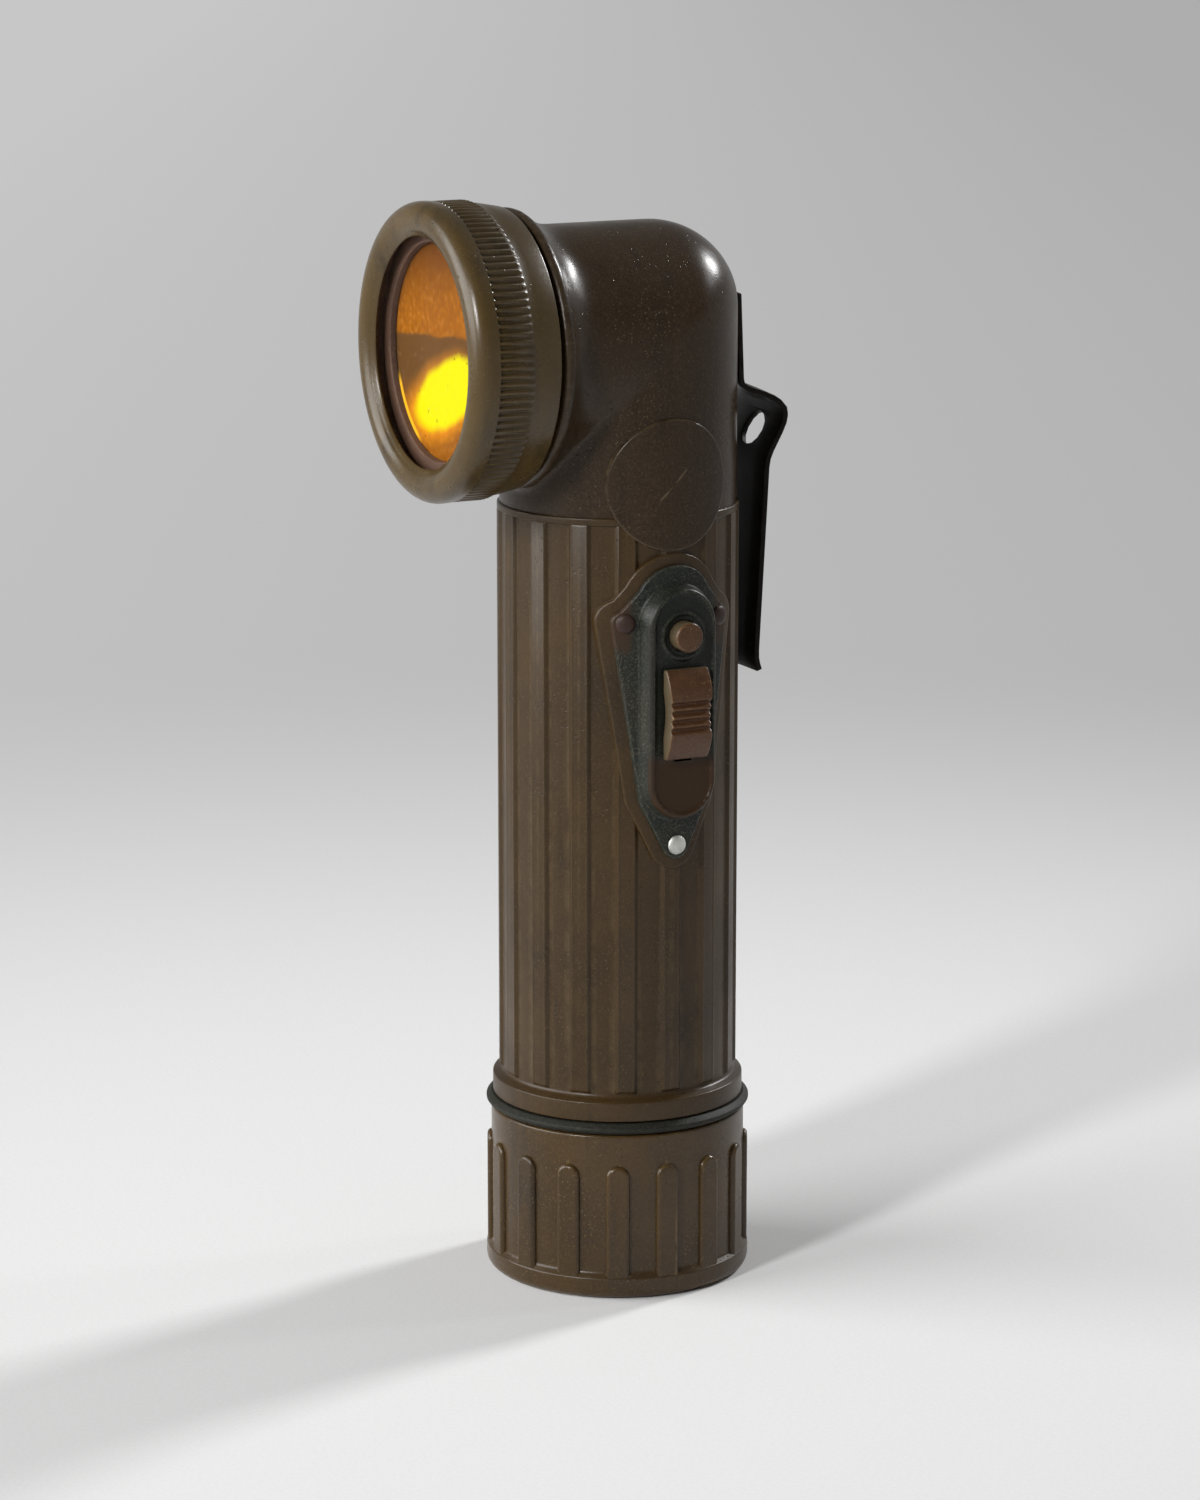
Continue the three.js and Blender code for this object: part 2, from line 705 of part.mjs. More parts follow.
// The switch plate is pressed from sheet: a skin round the pad and a raised, sunk oval tray
function switchPlate() {
  const skin = wrapped(pushedOut(plateOutline(0), padReach, trayFace), plateOutside,
    mouthHeight, headHeight);
  const trayOutline = oval(trayHalfWidth, trayLow, trayHigh);
  const dome = pushedOut(trayOutline, padReach, trayFace - trayDrop,
    { bevelEnabled: true, bevelSegments: 1, bevelSize: trayFlank, bevelThickness: trayDrop });
  const pad = turned([[0, mouthHeight], [plateInside, mouthHeight], [plateInside, headHeight],
    [0, headHeight]]);
  const inside = pushedOut(oval(trayBore, trayLow, trayHigh), padReach, trayFloorBack);
  const sunk = pushedOut(oval(trayBore, trayLow, trayHigh), trayFloorTop, trayFace + overrun);
  const slot = box([padReach, -slotHalfWidth, slotLow], [trayFace + overrun, slotHalfWidth, slotHigh]);
  const buttonHole = rivetHole(0, buttonHeight, buttonRadius + clearance, padReach, trayFace + overrun);
  const holes = Object.values(plateRivets).map(([angle, height]) => rivetHole(
    angle, height, rivetShankRadius + clearance, padReach, trayFace));
  return meshOf(cut(skin.add(solid(dome)), pad, inside, sunk, slot, buttonHole, ...holes));
}

// Domed rivet, driven from outside, with its end flush in the wall
function rivet(seat, head, dome, shank, angle, height) {
  const base = seat + clearance;
  const crown = corner(0, 0, 1, 0, 90).map(([across, up]) => [head * across, base + dome * up]);
  crown.at(-1)[0] = 0;
  return closed(turnedOutward([[0, rivetEnd], [shank, rivetEnd], [shank, base], ...crown],
    angle, height));
}

// Inner line of the clip as [reach, height] points, with eased bends
function clipLine() {
  const stops = [
    [clipInside, clipTop], [clipInside, clipPlateEnd],
    [clipShoulderReach - clipThickness, clipShoulderHeight],
    [clipBulgeReach - clipThickness, clipBulgeHigh],
    [clipBulgeReach - clipThickness, clipBulgeLow],
    [clipWaistReach - clipThickness, clipWaistHeight],
    [clipTipReach - clipThickness, clipTipHeight + clipTipFlareLength],
    [clipTipReach - clipThickness + clipTipFlare, clipTipHeight],
  ].map(([reach, height]) => new THREE.Vector2(reach, height));
  const path = new THREE.Path();
  path.moveTo(stops[0].x, stops[0].y);
  for (let i = 1; i < stops.length - 1; i += 1) {
    const before = stops[i].clone().lerp(stops[i - 1], bendShare(stops[i], stops[i - 1]));
    const after = stops[i].clone().lerp(stops[i + 1], bendShare(stops[i], stops[i + 1]));
    path.lineTo(before.x, before.y);
    path.quadraticCurveTo(stops[i].x, stops[i].y, after.x, after.y);
  }
  path.lineTo(stops.at(-1).x, stops.at(-1).y);
  return path.getPoints(2);
}

function bendShare(bend, neighbour) {
  return Math.min(clipBend / bend.distanceTo(neighbour), clipBendLimitShare);
}

// The plate part is curved like the head that it is riveted to, and the arm below it is flat
function beltClip() {
  const line = clipLine();
  const columns = 5;
  const front = [];
  const back = [];
  line.forEach((point, i) => {
    const before = line[Math.max(i - 1, 0)];
    const after = line[Math.min(i + 1, line.length - 1)];
    const along = after.clone().sub(before).normalize();
    const outward = new THREE.Vector2(-along.y, along.x);
    if (outward.x < 0) outward.negate();
    const fromTop = Math.min((clipTop - point.y) / clipCornerLength, 1);
    const rounding = Math.sqrt(Math.max(1 - (1 - fromTop) ** 2, 0));
    const half = clipHalfWidth - clipCornerInset * (1 - rounding);
    const fall = (clipPlateEnd - point.y) / (clipPlateEnd - clipBulgeHigh);
    const curl = 1 - Math.min(Math.max(fall, 0), 1);
    const row = (offset) => Array.from({ length: columns }, (_, j) => {
      const across = half * (2 * j / (columns - 1) - 1);
      const sag = curl * (clipInside - Math.sqrt(clipInside ** 2 - across ** 2));
      return new THREE.Vector3(across, point.x + outward.x * offset - sag, point.y + outward.y * offset);
    });
    front.push(row(clipThickness));
    back.push(row(0));
  });
  const hole = new THREE.CylinderGeometry(clipHoleRadius, clipHoleRadius, 2 * clipShoulderReach, smallSteps);
  const slope = Math.atan2(clipBulgeReach - clipWaistReach, clipBulgeLow - clipWaistHeight);
  const share = (clipHoleHeight - clipWaistHeight) / (clipBulgeLow - clipWaistHeight);
  const holeReach = clipWaistReach + (clipBulgeReach - clipWaistReach) * share;
  hole.rotateX(-slope).translate(0, holeReach, clipHoleHeight);
  const rivets = [clipRivetLow, clipRivetHigh].map((height) => rivetHole(
    clipAngle, height, clipRivetShankRadius + clearance, boreRadius, clipBulgeReach));
  return meshOf(cut(solid(thickSheet(front, back)), hole, ...rivets));
}

// Thumb piece: a saddle with cross grooves, on a neck that runs in the plate's slot
function slideKnob() {
  const half = slideLength / 2;
  const top = slideProud;
  const shape = new THREE.Shape();
  shape.moveTo(-half, 0);
  shape.lineTo(-half, top - slideCorner);
  shape.quadraticCurveTo(-half, top, -half + slideCorner, top);
  shape.lineTo(-slideDipLength / 2 - slideDip, top);
  const start = -slideGrooves * slideGroovePitch / 2;
  shape.lineTo(-slideDipLength / 2, top - slideDip);
  for (let i = 0; i < slideGrooves; i += 1) {
    const low = start + i * slideGroovePitch;
    shape.lineTo(low, top - slideDip);
    shape.lineTo(low + slideGroovePitch / 3, top - slideDip - slideGrooveDepth);
    shape.lineTo(low + slideGroovePitch * 2 / 3, top - slideDip - slideGrooveDepth);
  }
  shape.lineTo(-start, top - slideDip);
  shape.lineTo(slideDipLength / 2, top - slideDip);
  shape.lineTo(slideDipLength / 2 + slideDip, top);
  shape.lineTo(half - slideCorner, top);
  shape.quadraticCurveTo(half, top, half, top - slideCorner);
  shape.lineTo(half, 0);
  const side = slideHalfWidth - slideBevel;
  const knob = new THREE.ExtrudeGeometry(shape, { depth: 2 * side, curveSegments: 2, bevelEnabled: true,
    bevelSegments: 1, bevelSize: slideBevel, bevelOffset: -slideBevel, bevelThickness: slideBevel });
  knob.applyMatrix4(new THREE.Matrix4().makeBasis(alongZ, alongX, alongY));
  knob.translate(knobBack, -side, slideHeight);
  const neck = box([shoeBack, -slideNeckHalfWidth, slideHeight - slideNeckLength / 2],
    [knobBack + slideProud / 2, slideNeckHalfWidth, slideHeight + slideNeckLength / 2]);
  return meshOf(joined(knob, neck));
}

function slideShoe() {
  const plate = box([shoeBack, -shoeHalfWidth, slideHeight - shoeLength / 2],
    [shoeFace, shoeHalfWidth, slideHeight + shoeLength / 2]);
  const halfHole = slideNeckHalfWidth + clearance;
  const hole = box([shoeBack - overrun, -halfHole, slideHeight - slideNeckLength / 2 - clearance],
    [shoeFace + overrun, halfHole, slideHeight + slideNeckLength / 2 + clearance]);
  return meshOf(cut(solid(plate), hole));
}

// Bowed spring blade under the shoe, which bridges the two terminals
function slideBlade() {
  const high = shoeBack - clearance - bowThickness / 2;
  const low = terminalFace + clearance + bowThickness / 2;
  const points = [];
  const bowSteps = 8;
  for (let i = 0; i <= bowSteps; i += 1) {
    const along = 2 * i / bowSteps - 1;
    points.push([high + (low - high) * along ** 2, slideHeight + along * bowLength / 2]);
  }
  return closed(pushedAcross(stripShape(points, bowThickness), -bowHalfWidth, bowHalfWidth));
}

function pushButton() {
  const face = trayFace + buttonProud;
  const flangeFace = trayFloorBack - clearance;
  const flangeBack = flangeFace - buttonFlange;
  const stemEnd = terminalFace + clearance + buttonTravel;
  return closed(turnedOutward([
    [0, stemEnd], [buttonStemRadius, stemEnd], [buttonStemRadius, flangeBack],
    [buttonFlangeRadius, flangeBack], [buttonFlangeRadius, flangeFace], [buttonRadius, flangeFace],
    [buttonRadius, face - 2 * buttonCrown], [buttonRadius - buttonCrown, face - buttonCrown],
    [0, face],
  ], 0, buttonHeight));
}

// Slotted spring disc under the button's flange
function buttonBlade() {
  const top = trayFloorBack - clearance - buttonFlange - clearance;
  const bore = buttonStemRadius + clearance;
  return closed(turnedOutward([
    [bore, top - springBladeThickness], [springBladeRadius, top - springBladeThickness],
    [springBladeRadius, top], [bore, top],
  ], 0, buttonHeight));
}

// Insulating base with its two brass terminals, held by eyelets
const eyelets = { lower: [0, eyeletLowHeight], upper: [-leadSide, eyeletHighHeight] };

function eyeletHole([side, height]) {
  return rivetHole(0, height, eyeletHoleRadius, padReach, trayFace).translate(0, side, 0);
}

function switchBase() {
  const board = pushedOut(oval(baseHalfWidth, baseLow, baseHigh), baseBack, baseFace);
  return meshOf(cut(solid(board), eyeletHole(eyelets.lower), eyeletHole(eyelets.upper)));
}

// The lower terminal has an arm beside the upper one, so that the button can bridge the two
function terminal(corners, eyeletPlace) {
  const outline = new THREE.Shape(corners.map(([side, height]) => new THREE.Vector2(side, height)));
  return meshOf(cut(solid(pushedOut(outline, terminalBack, terminalFace)), eyeletHole(eyeletPlace)));
}

const lowerTerminal = [
  [-terminalHalfWidth, terminalFootHeight], [terminalHalfWidth, terminalFootHeight],
  [terminalArmOutside, terminalFootTop], [terminalArmOutside, terminalHeadHeight],
  [terminalArmInside, terminalHeadHeight], [terminalArmInside, terminalFootTop],
  [-terminalHalfWidth, terminalFootTop],
];

const upperTerminal = [
  [-terminalArmOutside, terminalHeadStart], [terminalHeadInside, terminalHeadStart],
  [terminalHeadInside, terminalHeadHeight], [-terminalArmOutside, terminalHeadHeight],
];

function eyelet([side, height]) {
  const back = baseBack - 2 * clearance - stripThickness;
  const face = terminalFace + clearance;
  return closed(turnedOutward([
    [0, back - eyeletHead], [eyeletRadius, back - eyeletHead], [eyeletRadius, back],
    [eyeletShankRadius, back], [eyeletShankRadius, face], [eyeletRadius, face],
    [eyeletRadius, face + eyeletHead], [0, face + eyeletHead],
  ], 0, height).translate(0, side, 0));
}

// Brass strip from the switch down to the mouth, where the cap's contact cup meets it
function mouthStrip() {
  const behind = baseBack - clearance - stripThickness / 2;
  const foot = mouthHeight - clearance - stripThickness / 2;
  const shape = stripShape([[behind, stripTop], [behind, stripBendHigh], [stripReach, stripBendLow],
    [stripReach, foot], [stripFoot, foot]], stripThickness);
  const strip = pushedAcross(shape, -stripHalfWidth, stripHalfWidth);
  return meshOf(cut(solid(strip), eyeletHole(eyelets.lower)));
}

// Brass strip from the switch up the wall and across to the lamp's shell
function lampStrip() {
  const behind = baseBack - clearance - stripThickness / 2;
  const shape = stripShape([[behind, leadStart], [behind, leadBendLow], [leadReach, leadBendHigh],
    [leadReach, headHeight], [shellRadius + clearance, headHeight]], leadThickness);
  const strip = pushedAcross(shape, -leadSide - leadHalfWidth, -leadSide + leadHalfWidth);
  return meshOf(cut(solid(strip), eyeletHole(eyelets.upper)));
}

// Brass leaf between the upper cell's terminal and the tip of the lamp
function centreContact() {
  const foot = cellStackTop + clearance + stripThickness / 2;
  const shape = new THREE.Shape(stripShape([
    [-centreLeafReach, centreLeafTop], [-centreLeafReach, foot + centreBend],
    [-centreLeafReach + centreBend, foot], [-centreLeafReach + centreFootLength, foot],
  ], stripThickness).getPoints());
  return closed(pushedOut(shape, -centreLeafHalfWidth, centreLeafHalfWidth));
}

// Moulded holder across the head, with a block behind it that backs the leaf
function lampHolder() {
  const disc = turnedOnHead([[0, holderBack], [holderRadius, holderBack], [holderRadius, holderFront],
    [0, holderFront]], innerSteps);
  const leafFace = centreLeafReach + stripThickness / 2;
  const block = box([-holderBlockHalfWidth, -holderBack - overrun, holderBlockLow],
    [holderBlockHalfWidth, -leafFace - clearance, holderBlockHigh]);
  const hole = turnedOnHead([[0, 0], [holderHole, 0], [holderHole, holderFront + overrun],
    [0, holderFront + overrun]], innerSteps);
  return meshOf(cut(joined(disc, block), hole));
}

function lampShell() {
  const flangeBack = holderFront + clearance;
  return closed(turnedOnHead([
    [shellBore, shellBack], [shellRadius, shellBack], [shellRadius, flangeBack],
    [shellFlangeRadius, flangeBack], [shellFlangeRadius, flangeBack + shellFlange],
    [shellRadius, flangeBack + shellFlange], [shellRadius, shellFront], [shellBore, shellFront],
  ], innerSteps));
}

// Flanged lamp: brass base with its solder tip, and the glass in front
function lampBase() {
  const back = lampFlangeBack - lampBaseLength;
  const tip = centreLeafReach + stripThickness / 2 + clearance;
  return closed(turnedOnHead([
    [0, tip], [lampTipRadius, tip], [lampSolderRadius, back], [lampBaseRadius, back],
    [lampBaseRadius, lampFlangeBack], [lampFlangeRadius, lampFlangeBack],
    [lampFlangeRadius, lampFlangeFront], [0, lampFlangeFront],
  ], innerSteps / 2));
}

function lampBulb() {
  const back = lampFlangeFront + clearance;
  const dome = corner(0, back + lampGlassLength - lampGlassRadius, lampGlassRadius, 0, 90, 5);
  dome.at(-1)[0] = 0;
  return closed(turnedOnHead([[0, back], [lampGlassNeck, back],
    [lampGlassNeck, back + lampGlassRadius / 2], ...dome], innerSteps / 2));
}

// Spun reflector: a parabolic bowl with a rim flange and a neck for the lamp
function reflector() {
  const bowl = [];
  const bowlSteps = 7;
  for (let i = 0; i <= bowlSteps; i += 1) {
    const radius = reflectorNeckRadius + (reflectorBowlRadius - reflectorNeckRadius) * i / bowlSteps;
    bowl.push([radius, reflectorApex + radius ** 2 / (4 * focalLength)]);
  }
  const outer = bowl.filter((_, i) => i % 2).map(
    ([radius, reach]) => [radius, reach - reflectorWallReach]);
  const neckOutside = reflectorNeckRadius + reflectorSheet;
  return closed(turnedOnHead([
    ...bowl, [reflectorRadius, reflectorFront], [reflectorRadius, reflectorBack],
    [reflectorBowlRadius + reflectorSheet, reflectorBack], ...outer.reverse().slice(1),
    [neckOutside, neckReach - reflectorSheet / 2], [neckOutside, neckBack],
    [reflectorNeckRadius, neckBack],
  ], innerSteps));
}

function plainDisc(radius, back, thickness) {
  const front = back + thickness;
  return closed(turnedOnHead([[0, back], [radius, back], [radius, front - lensEdge],
    [radius - lensEdge, front], [0, front]], innerSteps));
}

function spacerRing() {
  const front = spacerBack + spacerThickness;
  return closed(turnedOnHead([[spacerBore, spacerBack], [discRadius, spacerBack],
    [discRadius, front], [spacerBore, front]], innerSteps));
}

// Bezel: a round-nosed ring with a knurled band, threaded inside
function bezelRing() {
  const noseMiddle = bezelLipRadius + bezelNoseRadius;
  const noseStart = bezelNoseFront - bezelNoseRadius;
  const noseSteps = 5;
  const nose = corner(noseMiddle, noseStart, bezelNoseRadius, 0, 180, noseSteps);
  const bandBase = knurlRadius - knurlDepth;
  const ring = turnedOnHead([
    [bezelBore, bezelRear], [bezelRearRadius - bezelEdge, bezelRear],
    [bezelRearRadius, bezelRear + bezelEdge], [bandBase, knurlRear], [bandBase, knurlFront],
    [knurlRadius, knurlFront], ...nose.slice(0, -1),
    [bezelLipRadius, lipBack + bezelLipThickness], [bezelLipRadius + bezelLipThickness, lipBack],
    [bezelBore, lipBack],
  ]);
  const outline = new THREE.Shape();
  for (let i = 0; i < 2 * knurlCount; i += 1) {
    const angle = i * Math.PI / knurlCount;
    const radius = i % 2 ? knurlRadius - knurlDepth : knurlRadius;
    const [x, y] = [radius * Math.cos(angle), radius * Math.sin(angle)];
    if (i === 0) outline.moveTo(x, y);
    else outline.lineTo(x, y);
  }
  const inner = new THREE.Path();
  inner.absarc(0, 0, (bezelBore + bandBase) / 2, 0, 2 * Math.PI, true);
  outline.holes.push(inner);
  const depth = knurlFront - knurlRear;
  const options = { depth, bevelEnabled: false, curveSegments: roundSteps / 2 };
  const knurl = new THREE.ExtrudeGeometry(outline, options);
  knurl.translate(0, 0, knurlRear).rotateX(Math.PI / 2).translate(0, 0, headHeight);
  return meshOf(joined(ring, knurl));
}

// End cap: a cup with a foot band and ribs that run out of it
function endCap() {
  const cup = turned([
    [0, 0], ...corner(capBandRadius - capFootRound, capFootRound, capFootRound, -90, 0, 3),
    [capBandRadius, capBandHeight - capLedge], [capRadius, capBandHeight],
    [capRadius, capHeight - capEdge], [capRadius - capEdge, capHeight], [capBore, capHeight],
    [capBore, capFloor], [0, capFloor],
  ]);
  const ribs = [];
  for (let i = 0; i < capRibCount; i += 1) {
    const bar = rib(capRibWidth, capBandHeight - capLedge, capRibTop, capRadius, capRibRadius,
      capRibBevel, false);
    ribs.push(bar.rotateZ(i * 2 * Math.PI / capRibCount));
  }
  const hole = turned([[0, capRivetEnd], [capRivetShankRadius + clearance, capRivetEnd],
    [capRivetShankRadius + clearance, capFloor + overrun], [0, capFloor + overrun]], smallSteps);
  return meshOf(cut(joined(cup, ...ribs), hole)).rotateZ(degrees(capRibClocking));
}

// Contact cup: its rim meets the foot of the mouth strip when the cap is home
function contactCup() {
  const floorTop = cupFloor + cupSheet;
  const bore = capRivetShankRadius + clearance;
  return closed(turned([
    [bore, cupFloor], [cupRadius - cupBead, cupFloor], [cupRadius, cupFloor + cupBead],
    [cupRadius, cupTop], [cupRadius - cupSheet, cupTop], [cupRadius - cupSheet, floorTop],
    [bore, floorTop],
  ], innerSteps));
}

function capRivet() {
  const seat = cupFloor + cupSheet + clearance;
  const end = capRivetEnd + clearance;
  return closed(turned([[0, end], [capRivetShankRadius, end], [capRivetShankRadius, seat],
    [capRivetHeadRadius, seat], [capRivetCrownRadius, seat + capRivetHead],
    [0, seat + capRivetHead]], smallSteps));
}

// Conical coil that presses the cells up, as a true helix of round wire
class CoilCurve extends THREE.Curve {
  getPoint(share, target = new THREE.Vector3()) {
    const angle = share * springTurns * 2 * Math.PI;
    const radius = springBaseRadius + (springTopRadius - springBaseRadius) * share;
    const high = cellLow - clearance - springWireRadius;
    const height = springLow + (high - springLow) * share;
    return target.set(radius * Math.cos(angle), radius * Math.sin(angle), height);
  }
}

function capSpring() {
  const wire = new THREE.Shape();
  wire.absarc(0, 0, springWireRadius, 0, 2 * Math.PI, false);
  const steps = springTurns * springStepsPerTurn;
  return closed(new THREE.ExtrudeGeometry(wire, { steps, extrudePath: new CoilCurve(),
    curveSegments: springSides / 2 }));
}

function gasketRing() {
  const middle = (gasketLow + gasketTop) / 2;
  const inner = mouthRadius + clearance;
  const round = gasketThickness / 2;
  return closed(turned([[inner, gasketLow],
    ...corner(gasketRadius - round, middle, round, -90, 90), [inner, gasketTop]]));
}

// Dry cell: a can, and a brass cap on its top
function cellCan(low) {
  const edge = clearance;
  return closed(turned([[0, low], [cellRadius - edge, low], [cellRadius, low + edge],
    [cellRadius, low + cellCanLength - edge], [cellRadius - edge, low + cellCanLength],
    [0, low + cellCanLength]], innerSteps));
}

function cellTerminal(low) {
  const seat = low + cellCanLength + clearance;
  const top = seat + cellTerminalHeight;
  return closed(turned([[0, seat], [cellTerminalFlange, seat],
    [cellTerminalFlange, seat + cellTerminalSheet], [cellTerminalRadius, seat + cellTerminalSheet],
    [cellTerminalRadius, top], [0, top]], smallSteps));
}

// Finishes of the real pieces
const finishes = {
  body_plastic: { color: '#4a3c2a', roughness: 0.42, metalness: 0 },
  bezel_plastic: { color: '#5a5036', roughness: 0.4, metalness: 0 },
  cap_plastic: { color: '#54452c', roughness: 0.4, metalness: 0 },
  rubber: { color: '#1d211c', roughness: 0.75, metalness: 0 },
  green_black_steel: { color: '#242a26', roughness: 0.5, metalness: 0.6 },
  black_steel: { color: '#121110', roughness: 0.4, metalness: 0.7 },
  knob_plastic: { color: '#5b3a26', roughness: 0.4, metalness: 0 },
  brown_rivet: { color: '#3c2723', roughness: 0.5, metalness: 0.5 },
  bare_aluminium: { color: '#c9c9c7', roughness: 0.35, metalness: 1 },
  silvered_metal: { color: '#d8d6cf', roughness: 0.12, metalness: 1 },
  brass: { color: '#b08d4c', roughness: 0.35, metalness: 1 },
  spring_steel: { color: '#8f9294', roughness: 0.35, metalness: 1 },
  phenolic: { color: '#2b1c14', roughness: 0.5, metalness: 0 },
  fibre: { color: '#6b4a42', roughness: 0.7, metalness: 0 },
  amber_glass: { color: '#d98a2b', roughness: 0.1, metalness: 0, transparent: true, opacity: 0.7 },
  clear_glass: { color: '#eef2f0', roughness: 0.05, metalness: 0, transparent: true, opacity: 0.3 },
  zinc: { color: '#8d9092', roughness: 0.5, metalness: 0.9 },
};

const materials = Object.fromEntries(Object.entries(finishes).map(
  ([name, look]) => [name, new THREE.MeshStandardMaterial({ name, ...look })]));

const flashlight = new THREE.Group();

function place(name, geometry, finish) {
  const mesh = new THREE.Mesh(geometry, materials[finish]);
  mesh.name = name;
  flashlight.add(mesh);
}

place('case', caseShell(), 'body_plastic');
place('switch_plate', switchPlate(), 'green_black_steel');
for (const [side, [angle, height]] of Object.entries(plateRivets)) {
  place(`plate_rivet_${side}`, rivet(plateOutside, rivetHeadRadius, rivetHeadHeight,
    rivetShankRadius, angle, height), side === 'lower' ? 'bare_aluminium' : 'brown_rivet');
}
place('belt_clip', beltClip(), 'black_steel');
for (const [name, height] of [['upper', clipRivetHigh], ['lower', clipRivetLow]]) {
  place(`clip_rivet_${name}`, rivet(clipInside + clipThickness, clipRivetHeadRadius,
    clipRivetHeadHeight, clipRivetShankRadius, clipAngle, height), 'black_steel');
}
place('switch_base', switchBase(), 'fibre');
place('terminal_lower', terminal(lowerTerminal, eyelets.lower), 'brass');
place('terminal_upper', terminal(upperTerminal, eyelets.upper), 'brass');
place('eyelet_lower', eyelet(eyelets.lower), 'brass');
place('eyelet_upper', eyelet(eyelets.upper), 'brass');
place('mouth_strip', mouthStrip(), 'brass');
place('lamp_strip', lampStrip(), 'brass');
place('centre_contact', centreContact(), 'brass');
place('lamp_holder', lampHolder(), 'phenolic');
place('lamp_shell', lampShell(), 'brass');
for (const [name, low] of [['lower', cellLow], ['upper', cellLow + cellStackStep]]) {
  place(`cell_${name}_can`, cellCan(low), 'zinc');
  place(`cell_${name}_terminal`, cellTerminal(low), 'brass');
}
place('slide_knob', slideKnob(), 'knob_plastic');
place('slide_shoe', slideShoe(), 'brass');
place('slide_blade', slideBlade(), 'brass');
place('push_button', pushButton(), 'knob_plastic');
place('button_blade', buttonBlade(), 'brass');
place('reflector', reflector(), 'silvered_metal');
place('lamp_base', lampBase(), 'brass');
place('lamp_bulb', lampBulb(), 'clear_glass');
place('filter', plainDisc(discRadius, filterBack, filterThickness), 'amber_glass');
place('spacer_ring', spacerRing(), 'fibre');
place('lens', plainDisc(discRadius, lensBack, lensThickness), 'clear_glass');
place('bezel', bezelRing(), 'bezel_plastic');
place('gasket', gasketRing(), 'rubber');
place('end_cap', endCap(), 'cap_plastic');
place('contact_cup', contactCup(), 'brass');
place('cap_rivet', capRivet(), 'brass');
place('cap_spring', capSpring(), 'spring_steel');

export default flashlight;
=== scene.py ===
import json
import math

import bpy
from mathutils import Matrix, Vector

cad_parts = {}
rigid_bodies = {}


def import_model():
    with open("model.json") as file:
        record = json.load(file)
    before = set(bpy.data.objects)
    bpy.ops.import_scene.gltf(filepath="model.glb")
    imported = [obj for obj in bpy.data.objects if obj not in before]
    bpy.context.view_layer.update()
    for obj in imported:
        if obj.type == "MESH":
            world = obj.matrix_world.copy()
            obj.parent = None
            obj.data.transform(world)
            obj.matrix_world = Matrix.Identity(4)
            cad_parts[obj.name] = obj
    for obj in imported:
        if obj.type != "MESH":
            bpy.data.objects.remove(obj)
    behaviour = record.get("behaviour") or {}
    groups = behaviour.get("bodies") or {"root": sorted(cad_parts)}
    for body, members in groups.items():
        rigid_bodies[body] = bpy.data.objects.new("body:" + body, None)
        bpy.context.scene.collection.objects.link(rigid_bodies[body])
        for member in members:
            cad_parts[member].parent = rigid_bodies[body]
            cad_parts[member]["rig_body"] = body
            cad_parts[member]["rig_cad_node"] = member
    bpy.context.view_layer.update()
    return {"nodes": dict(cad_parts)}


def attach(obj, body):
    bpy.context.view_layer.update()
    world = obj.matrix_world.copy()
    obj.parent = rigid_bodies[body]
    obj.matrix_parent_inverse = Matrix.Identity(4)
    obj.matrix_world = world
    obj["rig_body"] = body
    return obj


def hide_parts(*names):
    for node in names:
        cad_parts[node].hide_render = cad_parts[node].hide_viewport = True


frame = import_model()
nodes = frame["nodes"]

# Ribbed barrel, the lower part of the case: one hollow moulding in brown phenolic plastic.
# It is moulded round a core, with low ribs for grip, a foot flange over the gasket and a
# threaded mouth that the end cap screws on to.
mm = 0.001
bore_radius = 18.4
panel_radius = 19.95
rib_radius = 20.5
rib_count = 16
rib_width = 3.3
rib_low = 35.7
foot_radius = 21.6
foot_low = 31.3
foot_top = 34.9
mouth_low = 12.0
mouth_core = 19.1
seam_height = 134.7
seam_rim = 1.2
fine_steps = 192
merge_reach = 0.00001


def object_mode():
    bpy.ops.object.mode_set(mode="OBJECT")


def edit_mode():
    bpy.ops.object.mode_set(mode="EDIT")


def select_whole():
    bpy.ops.mesh.select_all(action="SELECT")


def fresh():
    """Leaves edit mode and selects nothing."""
    if bpy.context.object and bpy.context.object.mode != "OBJECT":
        object_mode()
    bpy.ops.object.select_all(action="DESELECT")


def only(piece):
    fresh()
    piece.select_set(True)
    bpy.context.view_layer.objects.active = piece


def settled():
    """Puts the place, turn and scale of the selected piece into its mesh."""
    bpy.ops.object.transform_apply(location=True, rotation=True, scale=True)


def welded():
    """Merges the points that coincide in the piece being edited, and leaves all of it selected."""
    select_whole()
    bpy.ops.mesh.remove_doubles(threshold=merge_reach)


def outward():
    """Turns the faces of the piece being edited outwards and leaves edit mode."""
    select_whole()
    bpy.ops.mesh.normals_make_consistent(inside=False)
    object_mode()


def eased(corners, parts=5):
    """A closed outline of (across, up, rounding) corners, with an arc in place of each rounded one."""
    outline = []
    for i, (across, up, rounding) in enumerate(corners):
        here = Vector((across, up))
        if not rounding:
            outline.append(here)
            continue
        back = (Vector(corners[i - 1][:2]) - here).normalized()
        ahead = (Vector(corners[(i + 1) % len(corners)][:2]) - here).normalized()
        half = back.angle(ahead) / 2
        middle = here + (back + ahead).normalized() * rounding / math.sin(half)
        start = here + back * rounding / math.tan(half) - middle
        end = here + ahead * rounding / math.tan(half) - middle
        turn = start.angle_signed(end)
        for k in range(parts + 1):
            outline.append(middle + Matrix.Rotation(-turn * k / parts, 2) @ start)
    return outline


